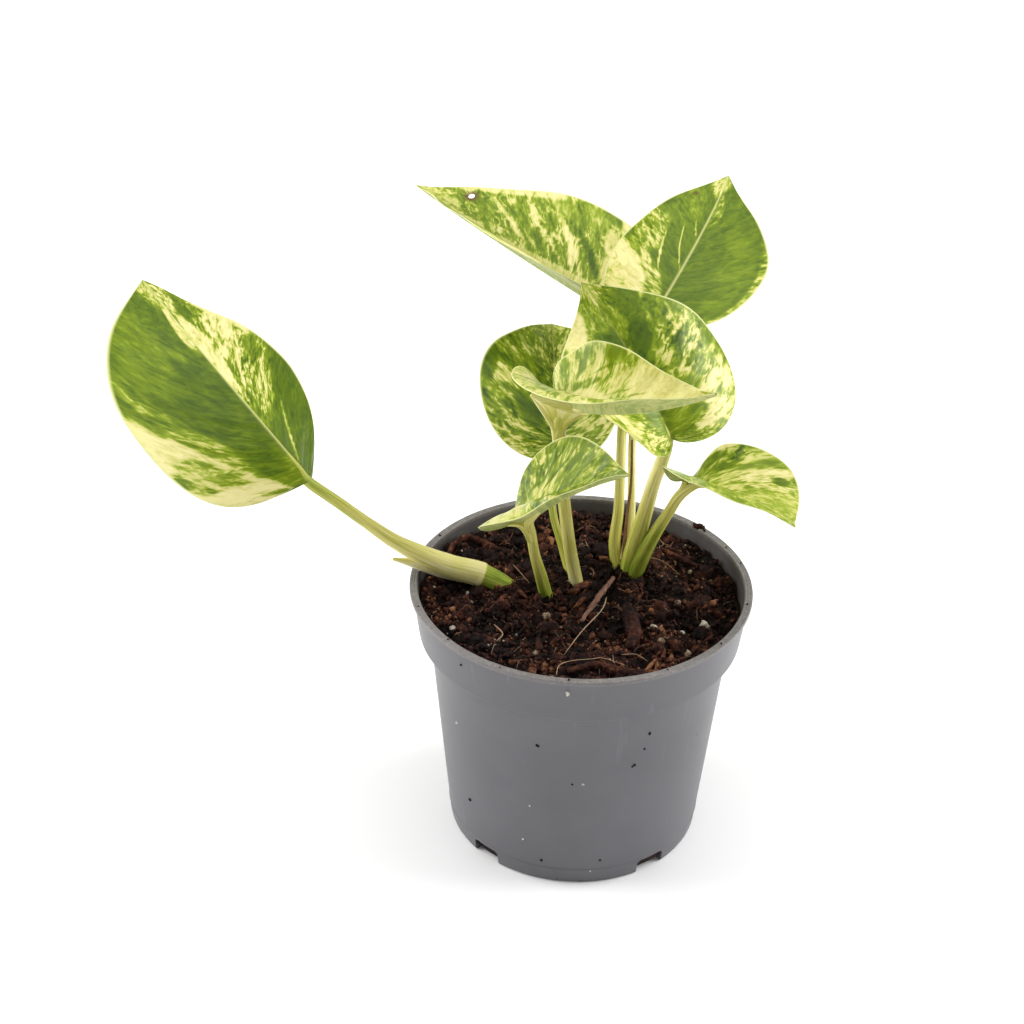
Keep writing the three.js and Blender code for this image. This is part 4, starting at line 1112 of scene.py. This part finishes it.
# Thick pieces of old root and bark that show: route over the soil, radius and shade
ROOT_PIECES = (
    (((-5, -43.5), (4, -41.5), (12, -42.5), (21, -44), (27, -43)), 1.7, 0.22),
    (((16, -7), (17, -14), (18, -23), (16, -30)), 2.6, 0.08),
    (((-48, 20), (-45, 28), (-40, 32), (-32, 30), (-26, 26)), 1.2, 0.2),
    (((30, 32), (37, 27), (43, 22)), 0.9, 0.24),
)
# Root hairs that show: route over the soil, radius, shade and height above the even soil
FIBRES = (
    (((9, -4), (7, -11), (0, -24), (-6.3, -37)), 0.17, 0.85, 3.2),
    (((-9, -50), (-8, -44.5), (-4, -41), (3, -40.5), (7, -39.5), (15, -43)), 0.11, 0.9, 3.2),
    (((13, -36), (18, -34), (22, -37)), 0.12, 0.7, 2),
    (((-24, 17), (-21, 10), (-18, 5)), 0.14, 0.6, 2),
    (((24, 24), (30, 21), (36, 15)), 0.16, 0.6, 2),
    (((-30, -20), (-27, -26), (-29, -31)), 0.22, 0.65, 2.2),
)


def keep_clear(places, gap):
    """Leaves out places that would bury the twig, the pieces of root or the hairs."""
    routes = [np.array(TWIG["points"])[:, :2]]
    routes += [np.array(piece[0], float) for piece in ROOT_PIECES + FIBRES]
    free = np.ones(len(places), bool)
    for route in routes:
        steps = 12 * (len(route) - 1)
        line, _ = smooth_route(np.column_stack((route, np.zeros(len(route)))), (1, 1), steps)
        distance = np.linalg.norm(places[:, None] - line[None, :, :2], axis=2).min(1)
        free &= distance > gap
    return places[free]


def make_crumbs(peat, white):
    """Loose crumbs of peat and bark, and grains of perlite, lying on the soil."""
    rng = np.random.default_rng(SEED + 2)
    even = ((0.75, 1.25),) * 3
    flat = ((1.2, 2.1), (0.6, 1.0), (0.35, 0.6))
    # level 1 is the plain icosahedron, which is enough for the smallest crumbs
    groups = (
        ("peat_clods", 110, 51, 1.4, 2.8, 3, even, 0.7, 0.1, (-0.03, 0.16)),
        ("peat_crumbs", 2100, 55, 0.45, 1.2, 1, even, 0.8, 0.6, (-0.08, 0.3)),
        ("bark_chips", 150, 53.5, 0.8, 1.9, 2, flat, 0.7, 0.55, (0.05, 0.42)),
        ("fine_crumbs", 3600, 55.5, 0.2, 0.5, 1, even, 0.6, 1.4, (0.0, 0.42)),
    )
    for name, count, radius, small, large, level, stretch, jitter, stand, shades in groups:
        places = keep_clear(random_places(rng, count, radius), 0.4 + 0.7 * large)
        count = len(places)
        sizes = rng.uniform(small, large, count)
        shade = rng.uniform(shades[0], shades[1], count)
        lumps = scatter_lumps(rng, places, sizes, level, stretch, jitter, stand, shade)
        place_mix(name, *lumps, [peat])
    extra = random_places(rng, EXTRA_PERLITE, 54)
    places = np.concatenate((np.array(PERLITE)[:, :2], extra))
    sizes = np.concatenate((np.array(PERLITE)[:, 2], rng.uniform(0.2, 0.6, EXTRA_PERLITE)))
    shade = rng.uniform(-0.2, 0.25, len(places))
    lumps = scatter_lumps(rng, places, sizes, 2, ((0.6, 1.25),) * 3, 0.8, 0.55, shade)
    place_mix("perlite_grains", *lumps, [white])


# Crumbs on the lip of the pot: angle, distance from the axis and size
RIM_CRUMBS = (
    (40.8, 58.4, 1.3), (42, 57.6, 1.0), (39.5, 58.9, 0.8), (43.4, 58.5, 0.6), (38, 58, 0.5),
    (25, 58.3, 0.35), (14, 58.8, 0.3), (-12, 58.4, 0.4), (-38, 58.7, 0.35), (-62, 58.3, 0.3),
    (-95, 58.5, 0.4), (-118, 58.8, 0.3), (-141, 58.2, 0.35), (-163, 58.6, 0.3), (150, 58.4, 0.45),
)
# Specks of dust and soil on the wall: angle, height, size and shade
WALL_SPECKS = (
    (-142, 23.8, 0.55, -0.2), (-104.9, 9.7, 0.5, -0.2), (-79.1, 10.9, 0.45, -0.2),
    (-92.6, 48.1, 0.4, -0.1), (-106.6, 64.2, 0.5, -0.1), (-106, 63.9, 0.35, -0.1),
    (-63.3, 67.8, 0.55, -0.1), (-64.7, 61.2, 0.4, 0.1), (-68.2, 54.7, 0.5, 0.15),
    (-69.1, 54.2, 0.4, -0.1), (-84.9, 79.9, 0.4, -0.1), (-134.4, 91.3, 0.4, -0.1),
    (-95.1, 92.7, 0.75, 0.45), (-95.3, 91.6, 0.4, 0.42), (-109.8, 35.1, 0.35, 0.45),
    (-113.2, 17.9, 0.4, 0.45), (-88.4, 48.3, 0.45, 0.55), (-146.6, 56.9, 0.45, 0.45),
    (-83.2, 5.8, 0.35, 0.45),
)
PALE_SPECK = 0.4


def make_loose_dust(peat, white):
    """Single crumbs that lie on the lip and specks that cling to the wall."""
    rng = np.random.default_rng(SEED + 4)
    ball, ball_faces = sphere_points(2)
    spots = []
    for angle, distance, size in RIM_CRUMBS:
        spots.append((angle, distance, POT_HEIGHT + 0.3 * size, size, rng.uniform(0, 0.3)))
    rise = (BODY_TOP_RADIUS - BASE_RADIUS) / (COLLAR_LOW_Z - STEP_DROP)
    collar_rise = (RIM_RADIUS - 1.2 - COLLAR_LOW_RADIUS) / (POT_HEIGHT - LIP_THICKNESS - COLLAR_LOW_Z)
    for angle, height, size, shade in WALL_SPECKS:
        distance = BASE_RADIUS + rise * height
        if height > COLLAR_LOW_Z:
            distance = COLLAR_LOW_RADIUS + collar_rise * (height - COLLAR_LOW_Z)
        spots.append((angle, distance, height, size, shade))
    parts, shades, kinds = [], [], []
    for angle, distance, z, size, shade in spots:
        around = math.radians(angle)
        centre = (distance * math.cos(around), distance * math.sin(around), z)
        kinds += [1 if shade > PALE_SPECK else 0] * len(ball_faces)
        wobble = 1 + 0.6 * (rng.random(len(ball)) - 0.5)
        parts.append((ball * wobble[:, None] * size + centre, ball_faces.tolist()))
        shades.append(np.full(len(ball), shade))
    place_mix("loose_dust", *join_parts(parts), np.concatenate(shades), [peat, white], kinds)


def make_root_pieces(peat):
    """Old roots and strips of bark, half sunk in the soil."""
    rng = np.random.default_rng(SEED + 5)
    parts, shades = [], []
    for route, radius, shade in ROOT_PIECES:
        places = np.array(route, float)
        lowest = soil_height(places[:, 0], places[:, 1])
        height = np.maximum(ground_height(places), lowest) + 0.5 * radius
        curve, _ = smooth_route(np.column_stack((places, height)), (1, 1), 14 * (len(places) - 1))
        run = np.linspace(0, 1, len(curve))
        widths = radius * (0.35 + 0.65 * np.sin(math.pi * np.clip(run * 1.1, 0.08, 0.95)) ** 0.6)
        rough = 1 + 0.6 * (rng.random((len(curve), 14)) - 0.5)
        points, faces, _ = tube(curve, widths, 14, bumps=rough)
        parts.append((points, faces))
        shades.append(np.full(len(points), shade))
    place_mix("root_pieces", *join_parts(parts), np.concatenate(shades), [peat])


def make_fibres(material):
    """Root hairs over the soil: the listed ones, and short random ones."""
    rng = np.random.default_rng(SEED + 3)
    routes = [(np.array(route, float), radius, shade, clear) for route, radius, shade, clear in FIBRES]
    for start in random_places(rng, 150, 50):
        heading = TURN * rng.random()
        reach = rng.uniform(2, 8)
        bend = rng.uniform(-0.9, 0.9)
        steps = np.arange(4)
        angles = heading + bend * steps
        moves = np.stack((np.cos(angles), np.sin(angles)), -1) * reach / 3
        route = start + np.cumsum(moves, 0)
        route = route[np.hypot(route[:, 0], route[:, 1]) < 54.5]
        if len(route) > 2:
            routes.append((route, rng.uniform(0.06, 0.16), rng.uniform(0.1, 0.75), -9))
    parts, shades = [], []
    for route, radius, shade, clear in routes:
        lowest = soil_height(route[:, 0], route[:, 1]) + clear
        height = np.maximum(ground_height(route) + rng.uniform(0.3, 1.2, len(route)), lowest)
        curve, _ = smooth_route(np.column_stack((route, height)), (1, 1), 8 * (len(route) - 1))
        taper = radius * np.interp(np.linspace(0, 1, len(curve)), (0, 0.15, 0.8, 1), (0.5, 1, 0.9, 0.3))
        points, faces, _ = tube(curve, taper, 6)
        parts.append((points, faces))
        shades.append(np.full(len(points), shade))
    place_mix("root_fibres", *join_parts(parts), np.concatenate(shades), [material])


def pot_profile():
    """Outline of the wall from the middle of the underside, out, over the rim and back to the middle."""
    step_z = COLLAR_LOW_Z - STEP_DROP

    def body_at(z):
        return BASE_RADIUS + (BODY_TOP_RADIUS - BASE_RADIUS) * z / step_z

    lip_z = POT_HEIGHT - LIP_THICKNESS
    lip_inner = RIM_RADIUS - LIP_WIDTH
    inner = COLLAR_LOW_RADIUS - WALL
    outline = [(0, 0), (BASE_RADIUS - 1.2, 0), (BASE_RADIUS - 0.4, 0.2), (BASE_RADIUS + 0.02, 0.9)]
    # the parting line of the mould stands slightly proud
    proud = body_at(PARTING_Z) + 0.14
    outline += [(body_at(PARTING_Z - 0.25), PARTING_Z - 0.25), (proud, PARTING_Z - 0.1),
                (proud, PARTING_Z + 0.1), (body_at(PARTING_Z + 0.25), PARTING_Z + 0.25)]
    outline += [(body_at(z), z) for z in (20, 40, 60, step_z - 0.5)]
    outline += [(body_at(step_z) + 0.25, step_z + 0.15), (COLLAR_LOW_RADIUS - 2.0, COLLAR_LOW_Z - 0.9),
                (COLLAR_LOW_RADIUS - 0.6, COLLAR_LOW_Z - 0.35),
                (COLLAR_LOW_RADIUS - 0.1, COLLAR_LOW_Z + 0.25),
                (COLLAR_LOW_RADIUS + 0.05, COLLAR_LOW_Z + 1)]
    outline += [(RIM_RADIUS - 1.2, lip_z - 0.9), (RIM_RADIUS - 0.9, lip_z - 0.45),
                (RIM_RADIUS - 0.2, lip_z - 0.1), (RIM_RADIUS, lip_z + 0.25),
                (RIM_RADIUS, POT_HEIGHT - 0.4), (RIM_RADIUS - 0.15, POT_HEIGHT - 0.1),
                (RIM_RADIUS - 0.45, POT_HEIGHT)]
    # two fine turned lines on the flat of the lip
    for groove in (1.0, 1.9):
        r = RIM_RADIUS - groove
        outline += [(r + 0.12, POT_HEIGHT), (r, POT_HEIGHT - 0.07), (r - 0.12, POT_HEIGHT)]
    outline += [(lip_inner + 0.3, POT_HEIGHT), (lip_inner, POT_HEIGHT - 0.25), (lip_inner - 0.2, lip_z),
                (inner, COLLAR_LOW_Z + 1.6), (inner - 0.8, COLLAR_LOW_Z + 0.8),
                (body_at(step_z) - WALL, step_z - 0.3), (body_at(2) - WALL, 2.0),
                (body_at(WALL) - WALL - 0.8, WALL), (0, WALL)]
    return outline


def lathe(outline, sides):
    """Turns an outline that starts and ends on the axis into a closed mesh."""
    rings = [level_ring(radius, z, sides) for radius, z in outline[1:-1]]
    return stack_rings(rings, outline[0][1], outline[-1][1])


def channel_bar(name, angle, grow, floor_z, outer):
    """A bar with rounded upper edges along one drainage channel. Its outer end is bent round the pot."""
    half = CHANNEL_WIDTH / 2 + grow
    top = CHANNEL_HEIGHT + grow
    round_off = CHANNEL_CORNER + grow
    right = [(half, floor_z)]
    for a in np.radians(np.linspace(0, 90, 7)):
        right.append((half - round_off * (1 - math.cos(a)), top - round_off * (1 - math.sin(a))))
    section = right + [(-across, up) for across, up in reversed(right)]
    count = len(section)
    near = [(CHANNEL_INNER_RADIUS - grow, across, up) for across, up in section]
    far = [(math.sqrt(outer ** 2 - across ** 2), across, up) for across, up in section]
    faces = [[i, (i + 1) % count, (i + 1) % count + count, i + count] for i in range(count)]
    for i in range(len(right) - 1):
        mirrored = count - 1 - i
        faces.append([mirrored, mirrored - 1, i + 1, i])
        faces.append([count + i, count + i + 1, count + mirrored - 1, count + mirrored])
    turn = np.array(Matrix.Rotation(math.radians(angle), 3, "Z"))
    return mesh_object(name, np.array(near + far) @ turn.T, faces, [])


def recess_block():
    """The block that cuts the recess into the foot."""
    points = np.array([
        (radius, across, up) for radius in (BASE_RADIUS - RECESS_DEPTH, RIM_RADIUS)
        for across in (-RECESS_WIDTH / 2, RECESS_WIDTH / 2) for up in (-1, RECESS_HEIGHT)])
    faces = [[0, 1, 3, 2], [4, 6, 7, 5], [0, 4, 5, 1], [2, 3, 7, 6], [0, 2, 6, 4], [1, 5, 7, 3]]
    turn = np.array(Matrix.Rotation(math.radians(RECESS_ANGLE), 3, "Z"))
    return mesh_object("recess", points @ turn.T, faces, [])


def apply_boolean(target, tool, operation):
    """Joins the tool to the target or cuts it out, and removes the tool."""
    modifier = target.modifiers.new("cut", "BOOLEAN")
    modifier.operation = operation
    modifier.object = tool
    modifier.solver = "EXACT"
    bpy.context.view_layer.update()
    evaluated = target.evaluated_get(bpy.context.evaluated_depsgraph_get())
    result = bpy.data.meshes.new_from_object(evaluated)
    target.modifiers.clear()
    target.data = result
    bpy.data.objects.remove(tool)


def make_pot(material):
    """Thin pot with a stepped collar, a flat lip and four channels with drain holes under its foot."""
    points, faces = lathe(pot_profile(), POT_SIDES)
    pot = mesh_object("nursery_pot", points, faces, [material])
    for number, angle in enumerate(CHANNEL_ANGLES):
        cover = channel_bar(f"cover_{number}", angle, WALL, WALL / 2, BASE_RADIUS - 0.3)
        apply_boolean(pot, cover, "UNION")
    for number, angle in enumerate(CHANNEL_ANGLES):
        apply_boolean(pot, channel_bar(f"channel_{number}", angle, 0, -1.0, RIM_RADIUS), "DIFFERENCE")
        spot = np.array(Matrix.Rotation(math.radians(angle), 3, "Z")) @ (DRAIN_DISTANCE, 0, 0)
        points, faces = lathe(((0, 3), (DRAIN_RADIUS, 3), (DRAIN_RADIUS, 9), (0, 9)), 32)
        apply_boolean(pot, mesh_object(f"drain_{number}", points + spot, faces, []), "DIFFERENCE")
    apply_boolean(pot, recess_block(), "DIFFERENCE")
    pot.data.materials.clear()
    pot.data.materials.append(material)
    pot.data.shade_smooth()
    pot.data.set_sharp_from_angle(angle=math.radians(32))
    place_piece(pot, "pot_plastic", "pot")


def place_camera():
    """The photograph's camera, which looks towards the back and down, and is rolled a little."""
    pitch, roll = math.radians(CAMERA_PITCH), math.radians(CAMERA_ROLL)
    forward = Vector((0, math.cos(pitch), -math.sin(pitch)))
    right = Vector((1, 0, 0))
    up = right.cross(forward)
    turned_right = right * math.cos(roll) + up * math.sin(roll)
    turned_up = up * math.cos(roll) - right * math.sin(roll)
    data = bpy.data.cameras.new("camera")
    data.sensor_width = SENSOR_WIDTH
    data.lens = FOCAL_PIXELS / PICTURE_PIXELS * SENSOR_WIDTH
    camera = bpy.data.objects.new("camera", data)
    bpy.context.scene.collection.objects.link(camera)
    rotation = Matrix((turned_right, turned_up, -forward)).transposed().to_4x4()
    camera.matrix_world = Matrix.Translation(Vector(CAMERA_PLACE) * MM) @ rotation
    bpy.context.scene.camera = camera


def area_light(name, place, target, size, watts):
    """A round soft light that faces a target, with both places in metres."""
    data = bpy.data.lights.new(name, "AREA")
    data.shape = "DISK"
    data.size = size
    data.energy = watts
    light = bpy.data.objects.new(name, data)
    bpy.context.scene.collection.objects.link(light)
    light.location = place
    light.rotation_euler = (Vector(target) - Vector(place)).to_track_quat("-Z", "Y").to_euler()


def light_stage():
    """Plain white surroundings with a large soft light overhead and one at each side."""
    world = bpy.data.worlds.new("studio")
    world.use_nodes = True
    background = world.node_tree.nodes["Background"]
    background.inputs["Color"].default_value = linear("FFFFFF")
    background.inputs["Strength"].default_value = WORLD_STRENGTH
    bpy.context.scene.world = world
    area_light("overhead", (0, 0.4, 2.2), (0, 0.2, 0), 3.0, 31.5)
    area_light("left_side", (-1.25, 0.2, 0.7), (0, 0, 0.1), 1.0, 18)
    area_light("right_side", (1.25, 0.2, 0.7), (0, 0, 0.1), 1.0, 19)
    corners = [(x * FLOOR_REACH, y * FLOOR_REACH, 0) for x, y in ((-1, -1), (1, -1), (1, 1), (-1, 1))]
    paper = make_material("white_paper_floor", white_paper)
    floor = mesh_object("studio_floor", corners, [[0, 1, 2, 3]], [paper])
    bpy.context.scene.view_settings.view_transform = "Standard"


place_camera()
light_stage()

blade_materials = [
    make_material("pothos_leaf_upper_skin", leaf_tissue, False),
    make_material("pothos_leaf_underside", leaf_tissue, True)]
for leaf_number, leaf_name in enumerate(LEAVES):
    make_leaf(leaf_name, leaf_number, blade_materials)
petiole = make_material("pothos_petiole_skin", stalk_skin)
for stem_name in STALKS:
    make_stems(stem_name, petiole)
make_sheath(make_material("dry_brown_sheath", dry_litter, "3A2418", "A07448", 1.6))
make_twig(make_material("dry_twig_bark", dry_litter, "34201A", "946850", 2.2))
peat = make_material("damp_peat_and_bark", damp_peat)
make_soil(peat)
perlite = make_material("perlite", perlite_grain)
make_crumbs(peat, perlite)
make_loose_dust(peat, perlite)
make_root_pieces(peat)
make_fibres(make_material("dry_root_fibre", root_fibre))
make_pot(make_material("grey_polypropylene", pot_plastic))
